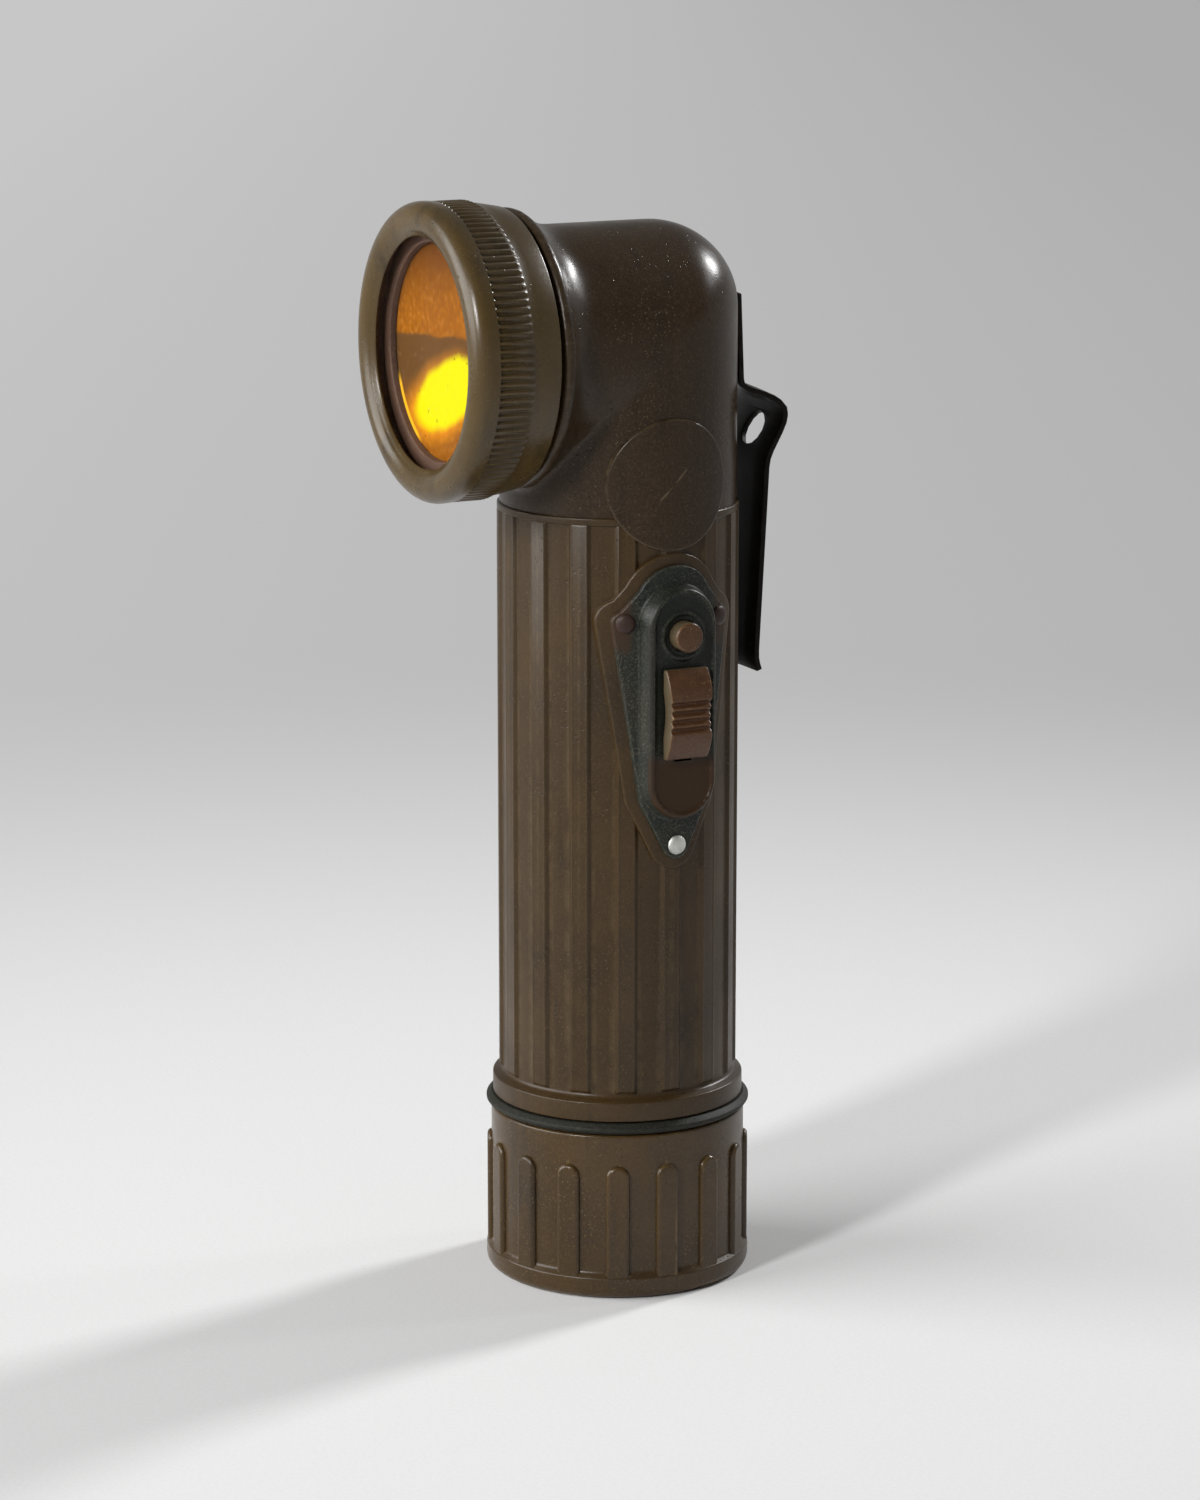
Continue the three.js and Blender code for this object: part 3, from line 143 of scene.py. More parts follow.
def drawn(name, points):
    """A line drawn point by point in edit mode, in millimetres, left selected."""
    fresh()
    points = [Vector(p) * mm for p in points]
    bpy.ops.mesh.primitive_plane_add(size=mm, location=points[0])
    piece = bpy.context.object
    piece.name = name
    settled()
    edit_mode()
    bpy.ops.mesh.select_mode(type="VERT")
    select_whole()
    bpy.ops.mesh.merge(type="CENTER")
    for here, there in zip(points, points[1:]):
        bpy.ops.mesh.extrude_vertices_move(TRANSFORM_OT_translate={"value": there - here})
    select_whole()
    return piece


def turned(name, outline, steps=fine_steps, head=0, side=0, ring=True):
    """An outline of (radius, reach) spun round the barrel, or round a level line through the head
    or through the switch at that height."""
    line = [Vector(p) for p in (outline + outline[:1] if ring else outline)]
    if head:
        points = [(p[0], -p[1], head) for p in line]
    elif side:
        points = [(p[1], 0, side + p[0]) for p in line]
    else:
        points = [(p[0], 0, p[1]) for p in line]
    piece = drawn(name, points)
    bpy.ops.mesh.spin(steps=steps, angle=math.tau, center=(0, 0, (head + side) * mm),
                      axis=(0, 1, 0) if head else (1, 0, 0) if side else (0, 0, 1))
    welded()
    outward()
    return piece


def pushed(name, points, *steps):
    """A closed outline, filled and pushed on by these steps, in millimetres."""
    piece = drawn(name, points + points[:1])
    welded()
    bpy.ops.mesh.edge_face_add()
    for step in steps:
        bpy.ops.mesh.extrude_region_move(TRANSFORM_OT_translate={"value": Vector(step) * mm})
    outward()
    return piece


def modified(piece, kind, **settings):
    """Adds one modifier with these settings and applies it."""
    only(piece)
    bpy.ops.object.modifier_add(type=kind)
    modifier = piece.modifiers[-1]
    for setting, value in settings.items():
        setattr(modifier, setting, value)
    bpy.ops.object.modifier_apply(modifier=modifier.name)
    return piece


def combined(piece, other, operation="UNION"):
    """Joins the other solid to the piece, or cuts it out, and removes it."""
    modified(piece, "BOOLEAN", object=other, operation=operation, solver="EXACT")
    only(other)
    bpy.ops.object.delete()
    return piece


def merged(first, *others):
    """One object from several, each still its own closed shell."""
    fresh()
    for piece in (first, *others):
        piece.select_set(True)
    bpy.context.view_layer.objects.active = first
    bpy.ops.object.join()
    return first


def repeated(piece, count, axis="Z", centre=(0, 0, 0)):
    """The piece and its copies, evenly round an axis, each copy with its own mesh."""
    copies = [piece]
    for i in range(1, count):
        only(piece)
        bpy.ops.object.duplicate()
        turn = Matrix.Rotation(i * math.tau / count, 4, axis)
        middle = Matrix.Translation(centre)
        bpy.context.object.matrix_world = middle @ turn @ middle.inverted()
        settled()
        copies.append(bpy.context.object)
    return merged(*copies)


barrel = turned("case_barrel", eased([
    (bore_radius, mouth_low, 0), (mouth_core, mouth_low, 0.3), (mouth_core, foot_low, 0),
    (foot_radius, foot_low, 0.2), (foot_radius, foot_top - 0.3, 0.3), (panel_radius, foot_top + 0.4, 0.9),
    (panel_radius, foot_top + 1.5, 0), (panel_radius, seam_height - seam_rim - 1.2, 0),
    (panel_radius, seam_height - seam_rim - 0.1, 0.3), (rib_radius, seam_height - seam_rim, 0.15),
    (rib_radius, seam_height, 0.3), (bore_radius, seam_height, 0)]))
rib_root = 18.9
rib_foot = panel_radius - 0.2
rib_run_out = 0.7
rib_top_reach = 1.5
crown_radius = rib_radius - 0.02
flank_reach = 0.55
flank_width = 1.0
flank_parts = 8
rib_flank = [(rib_foot + (rib_radius - rib_foot) * (1 - math.cos(math.pi * k / flank_parts)) / 2,
              -rib_width / 2 - flank_reach + flank_width * k / flank_parts) for k in range(flank_parts)]
rib_crown = [(crown_radius * math.cos(math.radians(a)), crown_radius * math.sin(math.radians(a)))
             for a in (-3.3, -2.2, -1.1, 0, 1.1, 2.2, 3.3)]
rib_line = [(rib_root, -rib_width / 2 - flank_reach), *rib_flank, *rib_crown,
            *[(x, -y) for x, y in reversed(rib_flank)], (rib_root, rib_width / 2 + flank_reach)]
rib_end_steps = [(0, 0, rib_run_out / 2)] * 2
rib = pushed("rib", [(x, y, rib_low) for x, y in rib_line], *rib_end_steps,
             (0, 0, seam_height - rib_low - rib_run_out - rib_top_reach), *rib_end_steps)
for vertex in rib.data.vertices:
    height = vertex.co.z / mm
    end = max(0, rib_low + rib_run_out - height, height - seam_height + rib_top_reach) / rib_run_out
    if vertex.co.x > panel_radius * mm:
        vertex.co.x -= (vertex.co.x - (panel_radius - 0.1) * mm) * end ** 2
barrel = combined(barrel, repeated(rib, rib_count))

# Pad of the barrel, a thin raised field with the outline of the switch plate, which lies on it.
# It is part of the barrel's moulding, and a window goes through it and the wall to the switch.
# The thread of the mouth is wound last, and the whole barrel gets its finish.
pad_radius = 20.95
pad_thick = 1.75
pad_margin = 1.9
pad_cuts = [k + 0.43 for k in range(-13, 13)]
window_half = 4.3
window_high = 114.7
window_low = 92
plate_tip = 79.3
plate_tip_radius = 2.4
plate_knee = (6.3, 86.6)
plate_ear = (8.7, 117.4)
plate_ear_radius = 2.0
plate_arch = 119.8
plate_arch_radius = 7.0
mouth_crest = 19.75
thread_pitch = 2.5
thread_sunk = 0.3


def beveled(piece, width, segments=3, angle=35):
    return modified(piece, "BEVEL", width=width * mm, segments=segments, limit_method="ANGLE",
                    angle_limit=math.radians(angle), miter_outer="MITER_ARC")


def smoothed(piece, angle=35):
    only(piece)
    bpy.ops.object.shade_smooth_by_angle(angle=math.radians(angle))
    return piece


def picked(piece, test):
    """Opens the piece in edit mode with the faces selected that pass the test."""
    only(piece)
    edit_mode()
    bpy.ops.mesh.select_mode(type="FACE")
    bpy.ops.mesh.select_all(action="DESELECT")
    object_mode()
    for face in piece.data.polygons:
        face.select = test(face)
    edit_mode()


def margined(piece, test, widths=(0.12, 0.14)):
    """Gives the chosen faces narrow margins, which keep the wear of an edge to that edge."""
    picked(piece, test)
    for width in widths:
        bpy.ops.mesh.inset(thickness=width * mm, use_even_offset=True)
    object_mode()
    return piece


def thread(name, core, crest, start, turns, head=0):
    """A ridge of trapezium section that winds round the barrel, or round the head, with closed ends."""
    sunk = core - thread_sunk if crest > core else core + thread_sunk
    half, tip = thread_pitch * 0.36, thread_pitch * 0.1
    ridge = [(sunk, start - half), (crest, start - tip), (crest, start + tip), (sunk, start + half)]
    piece = drawn(name, [(r, -z, head) if head else (r, 0, z) for r, z in ridge + ridge[:1]])
    welded()
    object_mode()
    only(piece)
    bpy.context.scene.cursor.location = (0, 0, head * mm)
    bpy.ops.object.origin_set(type="ORIGIN_CURSOR")
    modified(piece, "SCREW", axis="Y" if head else "Z", angle=math.tau, iterations=turns,
             screw_offset=(-1 if head else 1) * thread_pitch * mm, steps=64, render_steps=64)
    settled()
    edit_mode()
    select_whole()
    bpy.ops.mesh.fill_holes(sides=4)
    outward()
    bpy.context.scene.cursor.location = (0, 0, 0)
    return piece


def arc(across, up, radius, start, end, parts=8):
    """Points on an arc, from one angle to another in degrees."""
    angles = [math.radians(start + (end - start) * k / parts) for k in range(parts + 1)]
    return [(across + radius * math.cos(a), up + radius * math.sin(a)) for a in angles]


def plate_outline(margin):
    """Half of the outline of the switch plate, mirrored to the other side of the barrel."""
    right = arc(0, plate_tip, plate_tip_radius + margin, -90, -30)
    right.append((plate_knee[0] + margin, plate_knee[1]))
    right += arc(*plate_ear, plate_ear_radius + margin, -8, 70)
    right += arc(0, plate_arch, plate_arch_radius + margin, 25, 90)
    return right + [(-y, z) for y, z in reversed(right[1:-1])]


def block(name, outline, back, front):
    """An outline of (across, height) pushed outwards on the switch's side, between two reaches."""
    return pushed(name, [(back, y, z) for y, z in outline], (front - back, 0, 0))


def pillar(name, radius, low, high, steps=fine_steps * 2):
    """A plain round bar on the barrel's axis."""
    fresh()
    bpy.ops.mesh.primitive_cylinder_add(vertices=steps, radius=radius * mm, depth=(high - low) * mm,
                                        location=(0, 0, (low + high) / 2 * mm))
    bpy.context.object.name = name
    settled()
    return bpy.context.object


def wrapped(piece, radius):
    """Bends the faces on the switch's side round the barrel, to this radius."""
    for vertex in piece.data.vertices:
        vertex.co.x -= radius * mm - math.sqrt((radius * mm) ** 2 - vertex.co.y ** 2)
    return piece


pad = block("pad", plate_outline(pad_margin), pad_radius - pad_thick, pad_radius)
beveled(pad, 0.25, segments=4, angle=60)
margined(pad, lambda face: face.normal.x > 0.99)
edit_mode()
for across in pad_cuts:
    select_whole()
    bpy.ops.mesh.bisect(plane_co=(0, across * mm, 0), plane_no=(0, 1, 0))
object_mode()
barrel = combined(barrel, wrapped(pad, pad_radius))
window = block("window", arc(0, window_high, window_half, 0, 180) + arc(0, window_low, window_half, 180, 360),
               10, 30)
barrel = combined(barrel, window, "DIFFERENCE")
barrel = merged(barrel, thread("mouth_thread", mouth_core, mouth_crest, mouth_low + 2.5, 6))
barrel.name = "case_barrel"
smoothed(barrel)


def add_node(tree, kind, inputs=None, **settings):
    """A shader node with these settings and inputs, where an input is a value or another node's output."""
    node = tree.nodes.new(kind)
    for setting, value in settings.items():
        setattr(node, setting, value)
    for key, value in (inputs or {}).items():
        if isinstance(value, bpy.types.NodeSocket):
            tree.links.new(value, node.inputs[key])
        else:
            node.inputs[key].default_value = value
    return node


def new_group(name, inputs):
    """An empty node group with its sockets: a colour, a roughness and a height come out of it."""
    tree = bpy.data.node_groups.new(name, "ShaderNodeTree")
    for socket, value in inputs.items():
        kind = "NodeSocketColor" if socket.endswith("Colour") else "NodeSocketFloat"
        tree.interface.new_socket(socket, in_out="INPUT", socket_type=kind).default_value = value
    tree.interface.new_socket("Colour", in_out="OUTPUT", socket_type="NodeSocketColor")
    for socket in ("Roughness", "Height"):
        tree.interface.new_socket(socket, in_out="OUTPUT", socket_type="NodeSocketFloat")
    return tree, tree.nodes.new("NodeGroupInput").outputs, tree.nodes.new("NodeGroupOutput")


def put_out(tree, outside, *values):
    """Joins values to the outputs of a group, in their order."""
    for socket, value in zip(outside.inputs, values):
        tree.links.new(value, socket)


def own_place(tree):
    """The place on the piece, in its own coordinates."""
    return add_node(tree, "ShaderNodeTexCoord").outputs["Object"]


def maths(tree, operation, *values):
    return add_node(tree, "ShaderNodeMath", dict(enumerate(values)), operation=operation).outputs["Value"]


def times(tree, first, *others):
    for other in others:
        first = maths(tree, "MULTIPLY", first, other)
    return first


def ranged(tree, value, low, high, at_low, at_high):
    """A value taken from one range to another, and held at its ends."""
    return add_node(tree, "ShaderNodeMapRange", {"Value": value, "From Min": low, "From Max": high,
                                                 "To Min": at_low, "To Max": at_high}).outputs["Result"]


def noise(tree, place, scale, detail=2.0, roughness=0.5, output="Fac"):
    return add_node(tree, "ShaderNodeTexNoise", {"Vector": place, "Scale": scale, "Detail": detail,
                                                 "Roughness": roughness}).outputs[output]


def points_near(tree, place, scale):
    """The distance to the nearest of many scattered points."""
    return add_node(tree, "ShaderNodeTexVoronoi", {"Vector": place, "Scale": scale}).outputs["Distance"]


def stretched(tree, place, scale, turn=(0.0, 0.0, 0.0)):
    return add_node(tree, "ShaderNodeMapping", {"Vector": place, "Rotation": turn,
                                                "Scale": scale}).outputs["Vector"]


def ramp(tree, factor, stops, mode="LINEAR"):
    node = add_node(tree, "ShaderNodeValToRGB", {"Fac": factor})
    node.color_ramp.interpolation = mode
    while len(node.color_ramp.elements) < len(stops):
        node.color_ramp.elements.new(1)
    for element, (place, shade) in zip(node.color_ramp.elements, stops):
        element.position = place
        element.color = (*shade, 1) if isinstance(shade, tuple) else (shade, shade, shade, 1)
    return node.outputs["Color"]


def blend_colour(tree, factor, first, second):
    node = add_node(tree, "ShaderNodeMix", data_type="RGBA", blend_type="MIX")
    for key, value in ((0, factor), (6, first), (7, second)):
        if isinstance(value, bpy.types.NodeSocket):
            tree.links.new(value, node.inputs[key])
        else:
            node.inputs[key].default_value = value
    return node.outputs[2]


def rgb(text):
    """A linear colour from a hex one."""
    values = [int(text[i:i + 2], 16) / 255 for i in (0, 2, 4)]
    return tuple(v / 12.92 if v <= 0.04045 else ((v + 0.055) / 1.055) ** 2.4 for v in values) + (1,)


def aged_plastic_group():
    """Old moulded plastic: cloudy colour, dark specks, pits, fine scratches, rubbed edges and painted shade
    in its hollows.
    """
    tree, given, outside = new_group("aged plastic", {
        "Colour": (0.1, 0.1, 0.1, 1), "Cloud Colour": (0.1, 0.1, 0.1, 1), "Edge Colour": (0.2, 0.2, 0.2, 1),
        "Speck Colour": (0.02, 0.02, 0.02, 1), "Edge Wear": 0.5, "Roughness": 0.4, "Pits": 0.5, "Hollow Shade": 0.0,
        "Dust": 0.3, "Grain": 0.1})
    spot = own_place(tree)
    cloud = noise(tree, spot, 55.0, 5.0, 0.6)
    streak = noise(tree, stretched(tree, spot, (1.0, 1.0, 0.12)), 260.0, 3.0)
    grain = noise(tree, spot, 2600.0, 3.0, 0.7)
    scratch = noise(tree, stretched(tree, spot, (1.0, 0.03, 1.0), (0.5, 0.9, 0.3)), 900.0)
    convex = add_node(tree, "ShaderNodeNewGeometry").outputs["Pointiness"]
    pits = times(tree, ramp(tree, points_near(tree, spot, 900.0), [(0.1, 1.0), (0.2, 0.0)]),
                 ramp(tree, noise(tree, spot, 190.0), [(0.5, 0.0), (0.62, 1.0)]), given["Pits"])
    scratches = times(tree, ramp(tree, scratch, [(0.68, 0.0), (0.74, 1.0)]),
                      ramp(tree, noise(tree, spot, 70.0), [(0.5, 0.0), (0.65, 1.0)]))
    # Painted shade: the speck colour darkens concave hollows and creases, where shade falls.
    painted_hollow_shade = times(tree, ramp(tree, convex, [(0.42, 1.0), (0.49, 0.0)]), given["Hollow Shade"])
    dust = times(tree, ramp(tree, points_near(tree, spot, 1300.0), [(0.1, 1.0), (0.2, 0.0)]),
                 ramp(tree, noise(tree, spot, 110.0, 3.0), [(0.46, 0.0), (0.66, 1.0)]), given["Dust"])
    edges = times(tree, ramp(tree, convex, [(0.52, 0.0), (0.58, 1.0)]),
                  ramp(tree, noise(tree, spot, 420.0, 4.0), [(0.38, 0.0), (0.6, 1.0)]), given["Edge Wear"])
    grains = times(tree, ramp(tree, grain, [(0.5, 0.0), (0.66, 1.0)]), given["Grain"])
    colour = blend_colour(tree, ramp(tree, cloud, [(0.35, 0.0), (0.68, 1.0)]), given["Colour"],
                          given["Cloud Colour"])
    for mask, shade in ((ramp(tree, streak, [(0.56, 0.0), (0.75, 0.45)]), "Speck Colour"),
                        (grains, "Edge Colour"), (painted_hollow_shade, "Speck Colour"), (edges, "Edge Colour"),
                        (pits, "Speck Colour"), (dust, "Edge Colour"),
                        (times(tree, scratches, 0.12), "Edge Colour")):
        colour = blend_colour(tree, mask, colour, given[shade])
    rough = maths(tree, "ADD", ranged(tree, cloud, 0.3, 0.7, -0.07, 0.1), given["Roughness"])
    rough = maths(tree, "MULTIPLY_ADD", scratches, 0.12, rough)
    height = maths(tree, "MULTIPLY_ADD", pits, -0.8, 0.5)
    height = maths(tree, "MULTIPLY_ADD", grain, 0.12, height)
    height = maths(tree, "MULTIPLY_ADD", scratches, -0.08, height)
    put_out(tree, outside, colour, rough, height)
    return tree


aged_plastic = aged_plastic_group()


def new_material(name):
    """A node material with its shader, ready for a finish."""
    material = bpy.data.materials.new(name)
    material.use_nodes = True
    return material, material.node_tree, material.node_tree.nodes["Principled BSDF"]


def finish_with(material, group, values, bump):
    """Places a finish's group in the material and joins it to the shader."""
    tree = material.node_tree
    shader = tree.nodes["Principled BSDF"].inputs
    look = add_node(tree, "ShaderNodeGroup", values, node_tree=group).outputs
    relief = add_node(tree, "ShaderNodeBump", {"Height": look["Height"], "Strength": 1.0,
                                               "Distance": bump * mm})
    for output, socket in ((look["Colour"], "Base Color"), (look["Roughness"], "Roughness"),
                           (relief.outputs["Normal"], "Normal")):
        tree.links.new(output, shader[socket])
    return material


# One of the settings gives how much painted shade darkens a piece's hollows and creases.
def plastic(name, colour, cloud, edge, speck, wear=0.5, rough=0.4, pits=0.5, gloss=0.3, hollow_shade=0.0,
            dust=0.3, grain=0.12):
    material, tree, shader = new_material(name)
    shader.inputs["Specular IOR Level"].default_value = gloss
    return finish_with(material, aged_plastic, {
        "Colour": rgb(colour), "Cloud Colour": rgb(cloud), "Edge Colour": rgb(edge),
        "Speck Colour": rgb(speck), "Edge Wear": wear, "Roughness": rough, "Pits": pits, "Hollow Shade": hollow_shade,
        "Dust": dust, "Grain": grain}, bump=0.12)


def dress(piece, material, body, slot, *replaced):
    """Gives a piece its material and its body, and hides the nodes that it stands for; the slot is not used.
    """
    piece.data.materials.clear()
    piece.data.materials.append(material)
    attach(piece, body)
    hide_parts(*replaced)


barrel_plastic = plastic("barrel plastic", "402f18", "30220f", "74623f", "180f07", wear=0.14, rough=0.34,
                         dust=0.5)
dress(barrel, barrel_plastic, "case_body", "body_plastic", "case")

# Right-angle head, the upper part of the same moulding: two tubes that cross, with a rounded back
# corner, a flare to the lens end, a threaded spigot for the bezel and a bare round boss on its side.
head_height = 161.6
head_radius = 20.1
corner_radius = 14.0
corner_pivot = head_radius - corner_radius
flare_start = 12.5
flare_end = 19.6
flange_radius = 23.3
flange_front = 21.0
spigot_radius = 20.9
spigot_crest = 21.5
spigot_end = 30.6
boss_height = 140.0
boss_radius = 11.0
boss_proud = 0.7

upright = turned("upright", [(0, seam_height - 1.1), (head_radius, seam_height - 1.1),
                             (head_radius, head_height), (0, head_height)], ring=False)
flare = [(head_radius + (flange_radius - head_radius) * (k / 8) ** 2.2,
          flare_start + (flare_end - flare_start) * k / 8) for k in range(9)]
level = turned("level", [
    (0, 0), (head_radius, 0), *flare, (flange_radius, flange_front - 0.5),
    (flange_radius - 0.5, flange_front), (spigot_radius, flange_front), (spigot_radius, spigot_end),
    (0, spigot_end)], head=head_height, ring=False)
crossing = turned("crossing", [
    (0, head_height - head_radius), (head_radius, head_height - head_radius),
    (head_radius, head_height + head_radius), (0, head_height + head_radius)], ring=False)
crossing_level = turned("crossing_level", [(0, -head_radius), (head_radius, -head_radius),
                                           (head_radius, head_radius), (0, head_radius)],
                        head=head_height, ring=False)
crossing = combined(crossing, crossing_level, "INTERSECT")
only(crossing)
bpy.ops.object.duplicate()
crossing_low = bpy.context.object
corner_centre = Vector((0, corner_pivot, head_height + corner_pivot)) * mm
for part, side in ((crossing, (0, 1, 0)), (crossing_low, (0, 0, 1))):
    only(part)
    edit_mode()
    select_whole()
    bpy.ops.mesh.bisect(plane_co=corner_centre, plane_no=side, use_fill=True, clear_outer=True)
    object_mode()
half_turn = math.acos(corner_pivot / head_radius)
lemon_line = [(head_radius * math.sin(-half_turn + 2 * half_turn * k / 48),
               max(head_radius * math.cos(-half_turn + 2 * half_turn * k / 48) - corner_pivot, 0))
              for k in range(49)]
lemon = drawn("corner", [(x, corner_pivot + r, head_height + corner_pivot) for x, r in lemon_line])
bpy.ops.mesh.spin(steps=96, angle=math.tau, axis=(1, 0, 0), center=corner_centre)
welded()
outward()
head = merged(upright, crossing, crossing_low, lemon, level)
modified(head, "REMESH", mode="VOXEL", voxel_size=0.5 * mm, use_smooth_shade=True)
modified(head, "SMOOTH", factor=0.5, iterations=10)
hollow = pillar("hollow", bore_radius, seam_height - 5, head_height + 2, 96)
hollow_level = turned("hollow_level", [
    (0, -6), (bore_radius, -6), (bore_radius, 18.6), (19.0, 18.6), (19.0, spigot_end + 2),
    (0, spigot_end + 2)], steps=96, head=head_height, ring=False)
head = combined(head, hollow, "DIFFERENCE")
head = combined(head, hollow_level, "DIFFERENCE")
boss_face = head_radius + boss_proud
boss = turned("boss", [
    (0, 17), (boss_radius, 17), (boss_radius, boss_face - 0.3), (boss_radius - 0.09, boss_face - 0.09),
    (boss_radius - 0.3, boss_face), (boss_radius - 0.42, boss_face), (boss_radius - 0.56, boss_face),
    *[(boss_radius * k / 8, boss_face) for k in range(7, -1, -1)]], steps=120, side=boss_height, ring=False)
head = merged(head, wrapped(boss, boss_face), thread("spigot_thread", spigot_radius, spigot_crest,
                                                     flange_front + 1.6, 3, head=head_height))
head.name = "case_head"
smoothed(head, 40)
head_plastic = plastic("head plastic", "332516", "2b1f11", "6c5d46", "140d07", wear=0.6, rough=0.29,
                       pits=0.8, gloss=0.28, dust=0.9, grain=0.22)
dress(head, head_plastic, "case_body", "body_plastic", "case")

# Bezel: a moulded ring that screws on the head and holds the lens pack. It has a knurled band to
# turn it by, a smooth tapered band behind it, and a round nose that runs in to the lens.
bezel_bore = 21.8
bezel_rear = 21.8
knurl_rear = 27.0
knurl_front = 33.4
knurl_crest = 24.8
knurl_root = 24.35
knurl_inside = 24
knurl_count = 114
knurl_parts = 4
nose_radius = 2.85
nose_front = 37.66
lip_radius = 19.2
lip_back = 35.6
bezel = turned("bezel_ring", [
    *eased([(bezel_bore, bezel_rear, 0.2), (23.5, bezel_rear, 0.45), (24.15, 24.6, 0)])[:-1],
    (24.2, 25.6), (24.25, knurl_rear - 0.1), (24.3, knurl_rear), (knurl_crest, knurl_rear + 0.8),
    (knurl_crest, knurl_front - 0.25), (knurl_crest + 0.02, knurl_front),
    (knurl_crest + 0.07, knurl_front + 0.5),
    *arc(lip_radius + nose_radius, nose_front - nose_radius, nose_radius, 0, 144, 18),
    (lip_radius + 0.12, lip_back + 0.62), (lip_radius, lip_back + 0.35), (lip_radius + 0.12, lip_back + 0.1),
    (lip_radius + 0.4, lip_back), (bezel_bore, lip_back)], steps=knurl_count * knurl_parts, head=head_height)
only(bezel)
edit_mode()
bpy.ops.mesh.select_mode(type="VERT")
bpy.ops.mesh.select_all(action="DESELECT")
object_mode()
for vertex in bezel.data.vertices:
    x, y, z = vertex.co.x / mm, -vertex.co.y / mm, vertex.co.z / mm - head_height
    place = round(math.atan2(z, x) / math.tau * knurl_count * knurl_parts) % knurl_parts
    if place > 1 and knurl_rear + 0.4 < y < knurl_front - 0.1 and math.hypot(x, z) > knurl_inside:
        vertex.select = True
edit_mode()
bpy.ops.transform.resize(value=(knurl_root / knurl_crest, 1, knurl_root / knurl_crest),
                         center_override=(0, 0, head_height * mm))
outward()
bezel = merged(bezel, thread("bezel_thread", bezel_bore, 21.56, bezel_rear + 1.4, 3, head=head_height))
smoothed(bezel, 42)
bezel_plastic = plastic("bezel plastic", "4f3e1f", "423317", "6f6142", "181107", wear=0.1, rough=0.26,
                        gloss=0.42, hollow_shade=0.8, dust=0.6)
dress(bezel, bezel_plastic, "bezel_ring", "bezel_plastic", "bezel")

# End cap: a moulded cup that screws on the mouth of the case, with sixteen grip ribs that run out
# of a foot band, and a thread inside.
cap_radius = 21.9
cap_height = 29.0
cap_bore = 20.1
cap_floor = 2.6
band_radius = 22.8
band_height = 4.1
cap_rib_width = 4.1
cap_rib_top = 23.6
cap_rib_radius = 22.62
cap_rib_count = 16
cap_clocking = 18.6
cap = turned("end_cap_cup", eased([
    (0, 0, 0), (20.0, 0, 0), (band_radius, 0, 1.7), (band_radius, band_height - 0.4, 0.4),
    (cap_radius, band_height + 0.5, 0.9), (cap_radius, band_height + 2.4, 0),
    (cap_radius, cap_rib_top + 0.3, 0), (cap_radius, cap_rib_top + 0.8, 0), (cap_radius, cap_height - 1.0, 0),
    (cap_radius, cap_height, 0.5), (cap_bore, cap_height, 0.2),
    (cap_bore, cap_floor, 0.6), (0, cap_floor, 0)]), ring=False)
cap_rib = block("cap_rib", [(-cap_rib_width / 2, band_height - 1.4), (cap_rib_width / 2, band_height - 1.4),
                            *arc(0, cap_rib_top - cap_rib_width / 2, cap_rib_width / 2, 0, 180, 12)],
                cap_radius - 0.8, cap_rib_radius)
beveled(cap_rib, 0.7, segments=5)
margined(cap_rib, lambda face: face.normal.x > 0.99)
cap = combined(cap, repeated(cap_rib, cap_rib_count))
only(cap)
bpy.ops.transform.rotate(value=-math.radians(cap_clocking), orient_axis="Z", center_override=(0, 0, 0))
settled()
cap = merged(cap, thread("cap_thread", cap_bore, 19.84, 17.5, 4))
cap.name = "end_cap_cup"
smoothed(cap)
cap_plastic = plastic("cap plastic", "443115", "342510", "85714a", "1a1208", wear=0.45, rough=0.27,
                      pits=0.4, gloss=0.38, dust=0.6)
dress(cap, cap_plastic, "cap", "cap_plastic", "end_cap")

# Gasket: a ring of dark rubber, pressed between the foot flange of the case and the end cap.
# Its outer edge bulges a little past the flange above it.
gasket_low = 29.2
gasket_high = 31.1
gasket_proud = 22.75
gasket = turned("gasket_rubber", eased([
    (20.1, gasket_low, 0.2), (21.9, gasket_low, 0.3), (gasket_proud, 29.85, 0.25),
    (gasket_proud, 30.35, 0.25), (21.9, gasket_high, 0.3), (20.1, gasket_high, 0.2)]))
smoothed(gasket)
rubber = plastic("gasket rubber", "14150f", "1e1e17", "4a4738", "080906", wear=0.35, rough=0.6, pits=0.9,
                 dust=0.9, grain=0.4)
dress(gasket, rubber, "gasket_ring", "rubber", "gasket")

# Switch plate: sheet steel pressed to a curved skin with a raised oval tray, in dark green-black
# enamel that is worn through on its flanks, with painted shade on the tray's flank on the lens side.
# Three rivets hold it on the pad of the barrel.
plate_inside = 21.2
plate_outside = 22.0
tray_base = 6.6
tray_half = 6.0
tray_face = 24.6
tray_floor = 24.2
tray_foot = 21.6
tray_rim = 0.75
plate_thick = 0.8
through = (15, 30)
tray_low = 90.4
tray_high = 117.2
button_height = 115.4
slide_height = 102.4


def oval(half_width, low, high, parts=24):
    """A straight-sided oval with round ends, between two end centres."""
    return arc(0, high, half_width, 0, 180, parts) + arc(0, low, half_width, 180, 360, parts)


